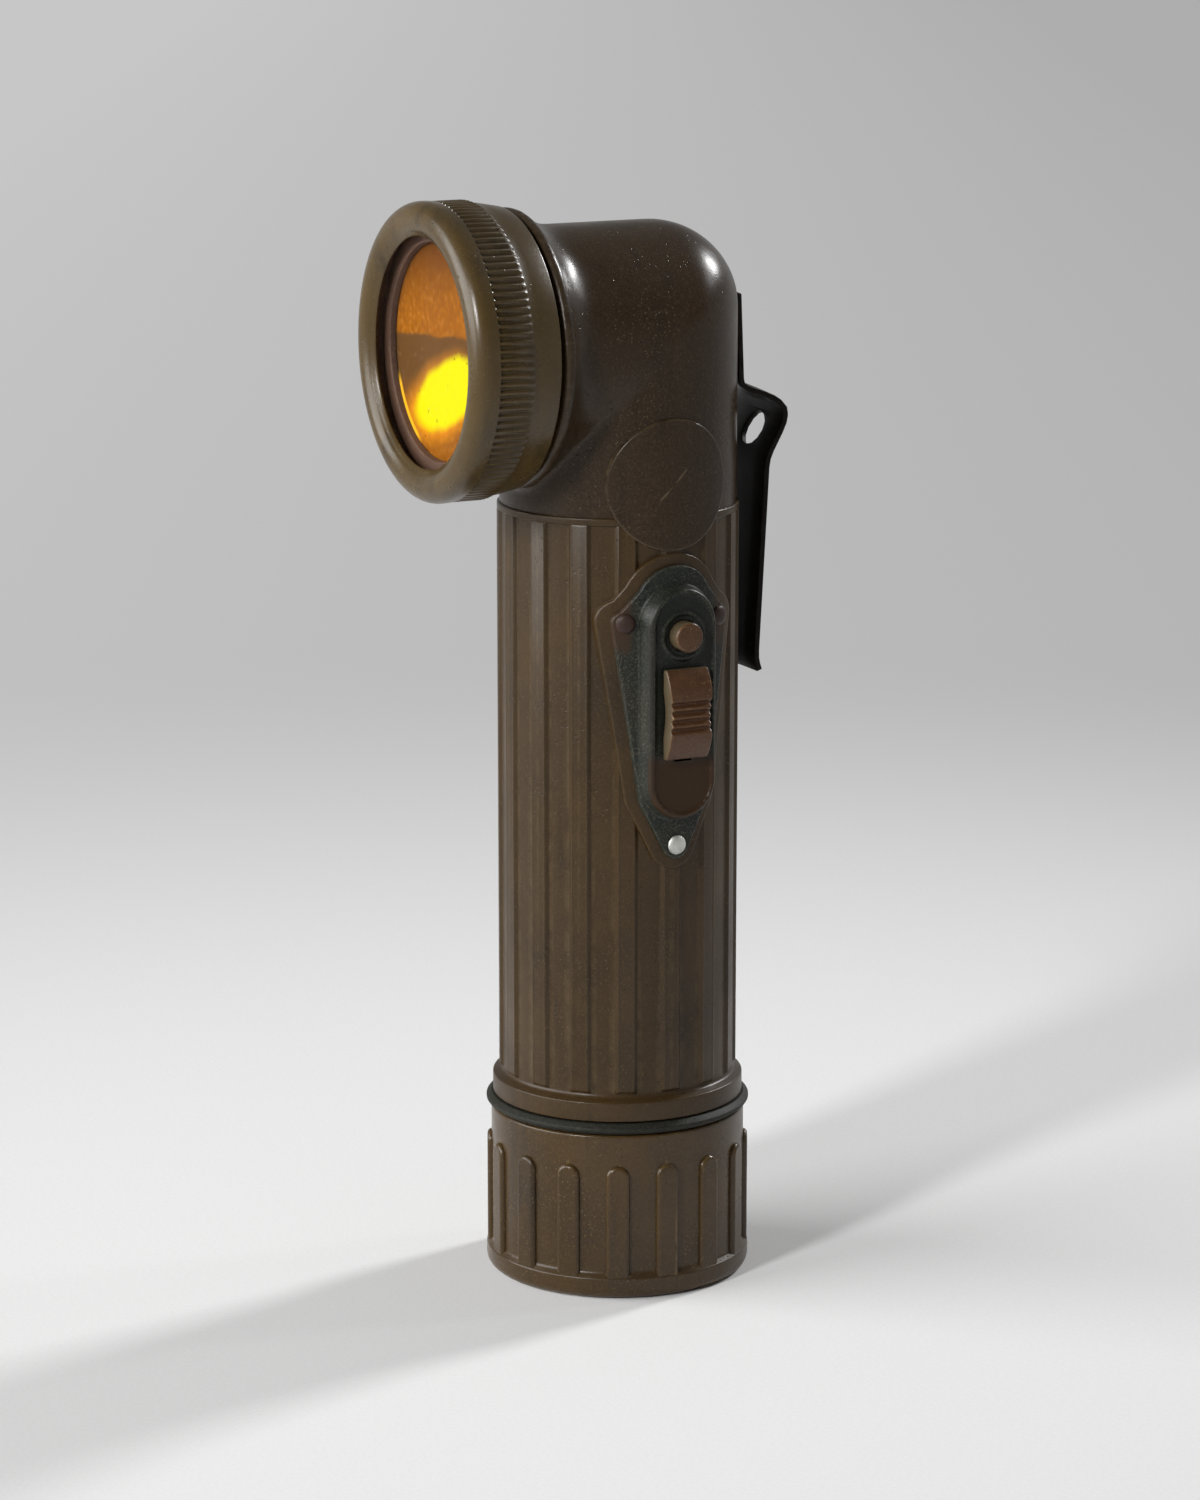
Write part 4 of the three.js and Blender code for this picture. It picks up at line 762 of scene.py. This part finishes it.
plate = combined(block("plate", plate_outline(0), *through), pillar("plate_round", plate_outside, 60, 140),
                 "INTERSECT")
beveled(plate, 0.3, angle=50)
tray = block("tray", oval(tray_base, tray_low, tray_high), through[0], tray_foot)
picked(tray, lambda face: face.center.x > (tray_foot - 0.1) * mm)
bpy.ops.mesh.extrude_region_move(TRANSFORM_OT_translate={"value": Vector((tray_face - tray_foot, 0, 0)) * mm})
tray_middle = (tray_low + tray_high) / 2
tray_length = tray_high - tray_low
bpy.ops.transform.resize(value=(1, tray_half / tray_base,
                                (tray_length + 2 * tray_half) / (tray_length + 2 * tray_base)),
                         center_override=(tray_face * mm, 0, tray_middle * mm))
object_mode()
beveled(tray, 0.6, segments=4, angle=30)
sunk = block("sunk", oval(tray_half - tray_rim, tray_low, tray_high), tray_floor, through[1])
tray = combined(tray, sunk, "DIFFERENCE")
ring = turned("press_ring", arc(3.85, tray_floor - 0.1, 0.42, 0, 360, 16)[:-1], steps=64, side=button_height)
plate = merged(plate, tray, ring)
modified(plate, "REMESH", mode="VOXEL", voxel_size=0.2 * mm, use_smooth_shade=True)
modified(plate, "SMOOTH", factor=0.5, iterations=3)
plate = combined(plate, pillar("plate_inner", plate_inside, 60, 140), "DIFFERENCE")
for opening in (block("tray_inner", oval(tray_half - tray_rim, tray_low, tray_high), through[0],
                      tray_floor - plate_thick),
                block("slot", [(-1.6, 94.1), (1.6, 94.1), (1.6, 104.7), (-1.6, 104.7)], *through),
                block("button_hole", arc(0, button_height, 2.8, 0, 360, 48)[:-1], *through)):
    plate = combined(plate, opening, "DIFFERENCE")
plate.name = "switch_plate_pressing"
smoothed(plate, 40)
enamel = plastic("green-black enamel", "171e1b", "25251e", "6e6b5b", "080a08", wear=0.6, rough=0.38,
                 pits=0.9, gloss=0.25, hollow_shade=0.7, dust=0.9, grain=0.32)


def axes(tree, place):
    return add_node(tree, "ShaderNodeSeparateXYZ", {"Vector": place}).outputs


def vectors(tree, operation, *values, output="Vector"):
    node = add_node(tree, "ShaderNodeVectorMath", dict(enumerate(values)), operation=operation)
    return node.outputs[output]


def span(tree, value, low, high):
    """A mask that rises smoothly from one value to another, and falls where they are turned round."""
    return add_node(tree, "ShaderNodeMapRange", {"Value": value, "From Min": low * mm, "From Max": high * mm},
                    interpolation_type="SMOOTHSTEP").outputs["Result"]


def painted_over(material, mask, colour):
    """Puts a colour over the one that the shader has, where the mask is."""
    tree = material.node_tree
    socket = tree.nodes["Principled BSDF"].inputs["Base Color"]
    tree.links.new(blend_colour(tree, mask, socket.links[0].from_socket, rgb(colour)), socket)


enamel_tree = enamel.node_tree
enamel_spot = own_place(enamel_tree)
enamel_blot = noise(enamel_tree, enamel_spot, 330.0, 5.0, output="Color")
enamel_bent = vectors(enamel_tree, "MULTIPLY_ADD", enamel_blot, (0.003, 0.0025, 0.004), enamel_spot)
rough_z = axes(enamel_tree, enamel_bent)["Z"]
flat_x, flat_y, flat_z = axes(enamel_tree, enamel_spot)
blot_green = add_node(enamel_tree, "ShaderNodeSeparateColor", {"Color": enamel_blot}).outputs["Green"]
across = maths(enamel_tree, "ABSOLUTE", flat_y)
blotchy = ramp(enamel_tree, enamel_blot, [(0.3, 0.8), (0.7, 0.4)])
# Brown where the enamel is worn through low on the tray and round the ears, painted shade on the tray's flank
# on the lens side, and a darker floor in the tray.
for shade, *masks in (
        ("35220f", span(enamel_tree, rough_z, 97.8, 95.2), span(enamel_tree, flat_x, 23.4, 23.7)),
        ("38291c", span(enamel_tree, across, 7.0, 8.6), span(enamel_tree, rough_z, 113.5, 116.5)),
        ("221d15", span(enamel_tree, flat_y, -5.3, -5.7), span(enamel_tree, flat_x, 22.9, 24.0), blot_green),
        ("0e1310", span(enamel_tree, flat_z, 97.0, 98.5), span(enamel_tree, flat_x, 23.9, 24.1),
         span(enamel_tree, flat_x, 24.45, 24.3), blotchy)):
    painted_over(enamel, times(enamel_tree, *masks), shade)
dress(plate, enamel, "case_body", "green_black_steel", "switch_plate")


# Rivets: domed heads on plain shanks. Two brown ones hold the ears of the plate, a bare aluminium
# one its foot, and two black ones hold the belt clip.
def rivet(node, seat, radius, dome, shank, angle, height, material, slot):
    """A rivet driven from outside, at this angle round the barrel and this height."""
    outline = [Vector((0, 18.8)), Vector((shank, 18.8)), Vector((shank, seat)), Vector((radius - 0.15, seat))]
    outline += [Vector((radius * math.cos(a), seat + 0.12 + (dome - 0.12) * math.sin(a)))
                for a in [math.pi / 2 * k / 10 for k in range(11)]]
    outline[-1].x = 0
    piece = turned(node + "_head", outline, steps=48, side=height, ring=False)
    only(piece)
    piece.rotation_euler = (0, 0, math.radians(angle))
    settled()
    smoothed(piece, 50)
    dress(piece, material, "case_body", slot, node)


ear_angle = math.degrees(math.asin(plate_ear[0] / plate_outside))
brown_steel = plastic("brown rivet", "3a2720", "2c1d17", "5c4534", "150e0b", rough=0.45, pits=0.8,
                      dust=0.6)


def worn_metal_group():
    """Bare metal: cloudy tarnish, fine rubbing marks and small dents."""
    tree, given, outside = new_group("worn metal", {
        "Colour": (0.6, 0.6, 0.6, 1), "Tarnish Colour": (0.2, 0.2, 0.2, 1), "Tarnish": 0.5,
        "Roughness": 0.35})
    spot = own_place(tree)
    cloud = noise(tree, spot, 240.0, 6.0, 0.65)
    rub = noise(tree, stretched(tree, spot, (1.0, 0.08, 1.0), (0.2, 0.4, 0.7)), 3000.0)
    share = times(tree, ramp(tree, cloud, [(0.42, 0.0), (0.66, 1.0)]), given["Tarnish"])
    colour = blend_colour(tree, share, given["Colour"], given["Tarnish Colour"])
    rough = maths(tree, "MULTIPLY_ADD", share, 0.3, given["Roughness"])
    rough = maths(tree, "MULTIPLY_ADD", rub, 0.12, rough)
    height = maths(tree, "MULTIPLY_ADD", rub, 0.15, noise(tree, spot, 1100.0))
    put_out(tree, outside, colour, rough, height)
    return tree


worn_metal = worn_metal_group()


def metal(name, colour, tarnish_colour, tarnish=0.5, rough=0.35):
    material, tree, shader = new_material(name)
    shader.inputs["Metallic"].default_value = 1.0
    return finish_with(material, worn_metal, {
        "Colour": rgb(colour), "Tarnish Colour": rgb(tarnish_colour), "Tarnish": tarnish, "Roughness": rough},
        bump=0.03)


aluminium = metal("bare aluminium", "dcdcd6", "8d8c86", tarnish=0.55, rough=0.45)
black_steel = plastic("black steel", "0b0807", "130d09", "3a3027", "030202", rough=0.48, pits=0.4, gloss=0.12)
plate_rivet = (plate_outside, 1.65, 0.8, 1.1)
clip_gap = 0.3
clip_thick = 1.0
clip_rivet = (head_radius + clip_gap + clip_thick, 2.4, 1.1, 1.5)
rivet("plate_rivet_left", *plate_rivet, -ear_angle, plate_ear[1], brown_steel, "brown_rivet")
rivet("plate_rivet_right", *plate_rivet, ear_angle, plate_ear[1], brown_steel, "brown_rivet")
rivet("plate_rivet_lower", *plate_rivet, 0, plate_tip, aluminium, "bare_aluminium")
rivet("clip_rivet_upper", *clip_rivet, 90, 164.8, black_steel, "black_steel")
rivet("clip_rivet_lower", *clip_rivet, 90, 158.8, black_steel, "black_steel")

# Belt clip: one strip of spring steel, blued black, bent over a shoulder and down to a plain end.
# Its plate is curved to the head and riveted there, and a round hole goes through its shoulder.
fresh()
clip = nodes["belt_clip"].copy()
clip.data = nodes["belt_clip"].data.copy()
bpy.context.scene.collection.objects.link(clip)
clip.name = "belt_clip_strip"
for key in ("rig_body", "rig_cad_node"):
    del clip[key]
clip.parent = None
only(clip)
edit_mode()
welded()
object_mode()
beveled(clip, 0.2, segments=2, angle=50)
smoothed(clip, 40)
dress(clip, black_steel, "case_body", "black_steel", "belt_clip")

# Thumb piece: a red-brown moulded block on a neck in the plate's slot. Its top is crowned, with
# cross grooves for the thumb in the middle, and its sides are waisted.
knob_back = 24.5
knob_face = 27.6
knob_half = 7.6
knob_half_width = 3.9
knob_line = [(knob_back, -knob_half)]
for k in range(81):
    along = -knob_half + 2 * knob_half * k / 80
    reach = knob_face - 1.9 * max(0, abs(along) - 2.4) ** 2 / 27 - 0.06
    groove = 0.33 * math.cos(math.tau * (along + 0.2) / 1.45) - 0.3 if abs(along + 0.2) < 2.9 else 0
    knob_line.append((reach + groove, along))
knob_line.append((knob_back, knob_half))
knob = pushed("knob", [(x, -knob_half_width, slide_height + z) for x, z in knob_line],
              (0, 2 * knob_half_width, 0))
beveled(knob, 0.55, segments=4, angle=60)
waist_line = [(1, -6.2), *[(0.25 - 0.6 * math.cos(math.pi * t / 12), t * 5.4 / 6) for t in range(-6, 7)],
              (1, 6.2)]
for side in (-1, 1):
    waist = pushed("waist", [(knob_back - 1, side * (knob_half_width + y), slide_height + z)
                             for y, z in waist_line], (6, 0, 0))
    knob = combined(knob, waist, "DIFFERENCE")
fresh()
bpy.ops.mesh.primitive_cube_add(size=mm, location=Vector((23.6, 0, slide_height)) * mm)
bpy.context.object.scale = (2.6, 2.6, 4.0)
settled()
knob = merged(knob, bpy.context.object)
modified(knob, "REMESH", mode="VOXEL", voxel_size=0.12 * mm, use_smooth_shade=True)
modified(knob, "SMOOTH", factor=0.5, iterations=3)
knob.name = "slide_thumb_piece"
knob_plastic = plastic("thumb piece plastic", "58391f", "452a16", "a07c50", "190d06", wear=0.9, rough=0.31,
                       pits=0.4, gloss=0.4, hollow_shade=0.9, dust=0.6)
knob_tree = knob_plastic.node_tree
knob_out = axes(knob_tree, add_node(knob_tree, "ShaderNodeTexCoord").outputs["Normal"])["X"]
# Painted sheen: where their faces turn away from the outside, the sides of the thumb piece and of the push
# button, which shares this plastic, are painted a paler olive-grey.
painted_over(knob_plastic, ramp(knob_tree, knob_out, [(0.15, 0.85), (0.5, 0.0)]), "544b38")
dress(knob, knob_plastic, "slide_switch", "knob_plastic", "slide_knob")

# Push button: a small brown turned plug in the plate's round hole. A flange behind the plate
# keeps it in, and a stub at its back faces the contact disc.
button = turned("push_button_plug", eased([
    (0, 22.0, 0), (1.2, 22.0, 0), (1.2, 22.6, 0), (3.6, 22.6, 0.1), (3.6, 23.1, 0.1), (2.5, 23.1, 0),
    (2.5, 26.75, 0.45), (0, 26.8, 0)]), steps=64, side=button_height, ring=False)
smoothed(button)
dress(button, knob_plastic, "button", "knob_plastic", "push_button")

# Lens pack: a clear disc, a thin spacer ring, an amber filter and a silvered bowl behind them.
# They slide out with the bezel, which turns round them.
bowl_depth = 15.6
bowl_curve = 18.6 ** 2 / bowl_depth
bowl_front = 31.5
bowl = [(r, bowl_front - bowl_depth + r * r / bowl_curve) for r in [5.9 + 12.7 * k / 24 for k in range(25)]]
reflector = turned("reflector_bowl", [
    *bowl, (20.8, bowl_front), (20.8, bowl_front - 0.6), (18.6, bowl_front - 0.6),
    *[(r + 0.25, z - 0.55) for r, z in reversed(bowl[1:-1])], (6.5, 15.27), (5.9, 15.27)], steps=96,
    head=head_height)
smoothed(reflector, 40)
silver = metal("silvered bowl", "d8d6ce", "a39c88", tarnish=0.4, rough=0.12)
dress(reflector, silver, "lens_pack", "silvered_metal", "reflector")
amber_disc = turned("amber_filter", eased([(0, 31.7, 0), (21.3, 31.7, 0.2), (21.3, 32.6, 0.2), (0, 32.6, 0)]),
                    steps=96, head=head_height, ring=False)
smoothed(amber_disc)
# The amber filter carries painted light: a painted reflection of the bowl in its colour and a painted glow in
# its emission.
amber, amber_tree, amber_shader = new_material("amber filter")
amber_spot = own_place(amber_tree)
amber_mottle = noise(amber_tree, amber_spot, 900.0, 4.0)
amber_speck = ramp(amber_tree, points_near(amber_tree, amber_spot, 420.0), [(0.06, 1.0), (0.1, 0.0)])
amber_wave = noise(amber_tree, amber_spot, 160.0, output="Color")
amber_bent = vectors(amber_tree, "ADD", amber_wave, (-0.5, -0.5, -0.5))
amber_bent = vectors(amber_tree, "MULTIPLY_ADD", amber_bent, (0.0016, 0.0, 0.0016), amber_spot)


def painted_light_oval(centre, turn, half_length, half_height, inner, outer):
    """A soft-edged oval of painted light on the filter, in millimetres from its middle."""
    place = add_node(amber_tree, "ShaderNodeMapping", {
        "Vector": amber_bent, "Location": (centre[0] * mm, 0.0, (head_height + centre[1]) * mm),
        "Rotation": (0.0, math.radians(-turn), 0.0),
        "Scale": (half_length * mm, 1.0, half_height * mm)}, vector_type="TEXTURE")
    flat = vectors(amber_tree, "MULTIPLY", place.outputs["Vector"], (1.0, 0.0, 1.0))
    reach = maths(amber_tree, "MULTIPLY", vectors(amber_tree, "LENGTH", flat, output="Value"), 0.5)
    return ramp(amber_tree, reach, [(inner / 2, 1.0), (outer / 2, 0.0)], "EASE")


amber_colour_and_painted_light = blend_colour(amber_tree, ramp(amber_tree, amber_mottle, [(0.4, 0.0), (0.65, 1.0)]),
                          rgb("884e0f"), rgb("9c5f14"))
# Painted reflection of the bowl behind the filter: the upper part darker, with a dusky band across the
# middle, both along a slightly tilted level.
amber_axes = axes(amber_tree, amber_bent)
painted_reflection_level = maths(amber_tree, "MULTIPLY_ADD", amber_axes["X"], -0.073, amber_axes["Z"])
painted_reflection_top = span(amber_tree, painted_reflection_level, head_height + 5, head_height + 19)
painted_reflection_band = times(amber_tree, span(amber_tree, painted_reflection_level, head_height + 2.9, head_height + 2.1),
                   span(amber_tree, painted_reflection_level, head_height - 10.5, head_height - 4.5))
for mask, shade in ((painted_reflection_top, "5c3410"), (painted_reflection_band, "5f4020"), (amber_speck, "3a230f")):
    amber_colour_and_painted_light = blend_colour(amber_tree, mask, amber_colour_and_painted_light, rgb(shade))
# Painted bright spot of light in the bowl, low and right of the middle: dark brown in the filter's colour and
# bright yellow in its emission.
painted_bright_spot = painted_light_oval((2.4, -6.7), 21, 15.0, 5.9, 0.74, 1.02)
amber_colour_and_painted_light = blend_colour(amber_tree, painted_bright_spot, amber_colour_and_painted_light, rgb("402000"))
amber_tree.links.new(amber_colour_and_painted_light, amber_shader.inputs["Base Color"])
amber_out = vectors(amber_tree, "SUBTRACT", amber_spot, (0.0, 0.0, head_height * mm))
amber_out = vectors(amber_tree, "MULTIPLY", amber_out, (1.0, 0.0, 1.0))
amber_out = vectors(amber_tree, "LENGTH", amber_out, output="Value")
# Painted glow: an orange rim low on the left edge, an orange halo and the bright spot give out light, and
# dust specks dim it.
painted_rim_glow = times(amber_tree, span(amber_tree, amber_out, 17.3, 17.7),
                  span(amber_tree, amber_axes["X"], -7.5, -10.5),
                  span(amber_tree, amber_axes["Z"], head_height - 5, head_height - 7.5))
painted_glow_halo = painted_light_oval((0.5, -7.6), 20, 18.5, 8.2, 0.5, 1.0)
painted_glow_colour = blend_colour(amber_tree, painted_glow_halo, (0.0, 0.0, 0.0, 1), (0.6, 0.21, 0.0, 1))
for mask, glow in ((painted_rim_glow, (1.0, 0.55, 0.02, 1)), (painted_bright_spot, (1.0, 0.96, 0.0, 1)),
                   (amber_speck, (0.12, 0.05, 0.0, 1))):
    painted_glow_colour = blend_colour(amber_tree, mask, painted_glow_colour, glow)
amber_tree.links.new(painted_glow_colour, amber_shader.inputs["Emission Color"])
amber_shader.inputs["Emission Strength"].default_value = 1.0
amber_rough = ramp(amber_tree, amber_mottle, [(0.3, 0.16), (0.7, 0.3)])
amber_tree.links.new(amber_rough, amber_shader.inputs["Roughness"])
amber_shader.inputs["Specular IOR Level"].default_value = 0.02
dress(amber_disc, amber, "lens_pack", "amber_glass", "filter")
spacer = turned("spacer", eased([(18.0, 32.75, 0.1), (21.5, 32.75, 0.1), (21.5, 35.45, 0), (21.34, 35.45, 0),
                                 (21.34, 33.8, 0), (18.2, 33.8, 0.3)]), steps=96, head=head_height)
smoothed(spacer)
fibre = plastic("brown fibre", "5b4032", "4a3226", "80664e", "22160f", wear=0.3, rough=0.6, pits=0.8,
                dust=0.9, grain=0.3)
dress(spacer, fibre, "lens_pack", "fibre", "spacer_ring")
lens = turned("lens_disc", eased([(0, 33.9, 0), (21.3, 33.9, 0.2), (21.3, 35.4, 0.2), (0, 35.4, 0)]),
              steps=96, head=head_height, ring=False)
smoothed(lens)
clear, clear_tree, clear_shader = new_material("clear lens")
clear_spot = own_place(clear_tree)
clear_dust = noise(clear_tree, clear_spot, 700.0, 6.0)
clear_speck = ramp(clear_tree, points_near(clear_tree, clear_spot, 500.0), [(0.05, 1.0), (0.08, 0.0)])
clear_haze = ramp(clear_tree, clear_dust, [(0.4, 0.002), (0.75, 0.008)])
clear_haze = blend_colour(clear_tree, clear_speck, clear_haze, (0.5, 0.5, 0.5, 1))
clear_rim = add_node(clear_tree, "ShaderNodeLayerWeight", {"Blend": 0.12}).outputs["Fresnel"]
clear_alpha = maths(clear_tree, "MULTIPLY_ADD", clear_rim, 0.03, clear_haze)
clear_tree.links.new(clear_alpha, clear_shader.inputs["Alpha"])
clear_shader.inputs["Base Color"].default_value = (0.12, 0.11, 0.09, 1)
clear_rough = ramp(clear_tree, clear_dust, [(0.3, 0.04), (0.8, 0.14)])
clear_tree.links.new(clear_rough, clear_shader.inputs["Roughness"])
dress(lens, clear, "lens_pack", "clear_glass", "lens")

# Works inside the case: brass strips and contacts, the lamp and its holder, two dry cells and the
# cap's spring. Their shapes stay as the model has them, and each gets its finish.
brass = metal("brass", "b8924a", "6b4f28", tarnish=0.6, rough=0.3)
spring_steel = metal("spring steel", "a9a8a4", "6a645a", tarnish=0.5, rough=0.3)
zinc = metal("zinc can", "a2a4a6", "74757a", tarnish=0.6, rough=0.45)
phenolic = plastic("black phenolic", "17120f", "211a15", "3c342c", "080605", wear=0.3, pits=0.3)
fibre_board = plastic("red-brown fibre board", "57301f", "6a3d28", "7d5238", "2a150d", wear=0.3,
                      rough=0.6, pits=0.6)
bulb_glass, bulb_tree, bulb_shader = new_material("bulb glass")
bulb_film = noise(bulb_tree, own_place(bulb_tree), 500.0)
bulb_tree.links.new(ramp(bulb_tree, bulb_film, [(0.3, 0.02), (0.7, 0.1)]), bulb_shader.inputs["Roughness"])
bulb_tree.links.new(ramp(bulb_tree, bulb_film, [(0.3, (0.95, 0.93, 0.88)), (0.7, (0.85, 0.82, 0.74))]),
                    bulb_shader.inputs["Base Color"])
bulb_shader.inputs["Transmission Weight"].default_value = 1.0
works = {
    "lamp_bulb": bulb_glass, "lamp_base": brass, "lamp_shell": brass, "lamp_holder": phenolic,
    "centre_contact": spring_steel, "lamp_strip": brass, "mouth_strip": brass, "switch_base": fibre_board,
    "cell_lower_can": zinc, "cell_upper_can": zinc, "cap_spring": spring_steel, "slide_shoe": brass,
    "slide_blade": spring_steel, "button_blade": spring_steel}
for name, node in nodes.items():
    if not node.hide_render:
        node.data.materials.clear()
        node.data.materials.append(works.get(name, brass))

# Studio: pale paper that falls off to grey behind the object, under a wall that darkens upwards. A
# small key lamp and a rim lamp stand behind on the right, and a broad lamp and a nose lamp on the left.
fresh()
bpy.ops.mesh.primitive_plane_add(size=14, location=(0, 0, 0))
floor = bpy.context.object
floor.name = "floor"
paper, paper_tree, paper_shader = new_material("paper")
paper_spot = own_place(paper_tree)
paper_grain = noise(paper_tree, paper_spot, 1500.0, 3.0)
paper_white = ramp(paper_tree, paper_grain, [(0.3, 0.83), (0.7, 0.87)])
paper_tree.links.new(paper_white, paper_shader.inputs["Base Color"])
paper_shader.inputs["Roughness"].default_value = 0.9
paper_shader.inputs["Specular IOR Level"].default_value = 0.1
paper_out = vectors(paper_tree, "LENGTH", paper_spot, output="Value")
paper_far = ramp(paper_tree, paper_out, [(0.07, 0.0), (0.55, 1.0)], "EASE")
paper_side = axes(paper_tree, stretched(paper_tree, paper_spot, (1.0, 1.0, 1.0),
                                        (0.0, 0.0, math.radians(-63.3))))["X"]
paper_light = add_node(paper_tree, "ShaderNodeEmission",
                       {"Color": ranged(paper_tree, paper_side, -0.4, 0.4, 0.57, 0.42)})


def seen(tree):
    """Whether a ray comes from the camera, or from a shiny or clear piece that shows the studio."""
    ray = add_node(tree, "ShaderNodeLightPath").outputs
    straight = maths(tree, "MAXIMUM", ray["Is Camera Ray"], ray["Is Glossy Ray"])
    return maths(tree, "MAXIMUM", straight, ray["Is Transmission Ray"])


paper_mix = add_node(paper_tree, "ShaderNodeMixShader", {
    0: times(paper_tree, seen(paper_tree), paper_far), 1: paper_shader.outputs["BSDF"],
    2: paper_light.outputs["Emission"]})
paper_tree.links.new(paper_mix.outputs["Shader"], paper_tree.nodes["Material Output"].inputs["Surface"])
floor.data.materials.append(paper)


def lamp(name, azimuth, elevation, reach, width, height, light_level):
    """A soft lamp that gives a white face turned to it this share of a plain white."""
    fresh()
    a, e = math.radians(azimuth), math.radians(elevation)
    place = Vector((math.cos(a) * math.cos(e), math.sin(a) * math.cos(e), math.sin(e))) * reach
    aim = Vector((0, 0, 0.1))
    bpy.ops.object.light_add(type="AREA", location=aim + place)
    light = bpy.context.object
    light.name = name
    light.data.shape = "RECTANGLE"
    light.data.size, light.data.size_y = width, height
    light.data.energy = light_level * (math.pi * reach) ** 2
    light.rotation_euler = (-place).to_track_quat("-Z", "Y").to_euler()
    return light


lamp("key_lamp", 104, 33, 1.8, 0.22, 0.34, 0.52)
lamp("rim_lamp", 82, 36, 1.8, 0.12, 0.4, 0.05)
lamp("left_lamp", -107, 20, 1.8, 1.7, 1.1, 1.03)
lamp("nose_lamp", -64, 27, 1.8, 0.18, 0.4, 0.5)
world = bpy.data.worlds.new("studio")
bpy.context.scene.world = world
world.use_nodes = True
world_tree = world.node_tree
world_up = axes(world_tree, add_node(world_tree, "ShaderNodeTexCoord").outputs["Generated"])["Z"]
world_wall = ranged(world_tree, world_up, 0.02, 0.45, 0.48, 0.22)
world_level = ranged(world_tree, seen(world_tree), 0.0, 1.0, 0.11, world_wall)
background = world_tree.nodes["Background"].inputs
background["Color"].default_value = (1.0, 1.0, 1.0, 1)
world_tree.links.new(world_level, background["Strength"])
bpy.context.scene.view_settings.view_transform = "Standard"

head_turn = math.radians(26.7)
pitch, yaw = 0.2184, 0.0039
camera_reach = 772.4
camera_height = 262.6
camera_place = Vector((camera_reach * math.cos(head_turn), -camera_reach * math.sin(head_turn),
                       camera_height)) * mm
forward = Vector((-math.sin(yaw) * math.sin(head_turn) - math.cos(yaw) * math.cos(head_turn),
                  -math.sin(yaw) * math.cos(head_turn) + math.cos(yaw) * math.sin(head_turn), 0))
forward = forward.normalized() * math.cos(pitch) - Vector((0, 0, math.sin(pitch)))
fresh()
bpy.ops.object.camera_add(location=camera_place, rotation=forward.to_track_quat("-Z", "Y").to_euler())
camera = bpy.context.object
camera.data.lens = 110.9
camera.data.sensor_width = 36
bpy.context.scene.camera = camera
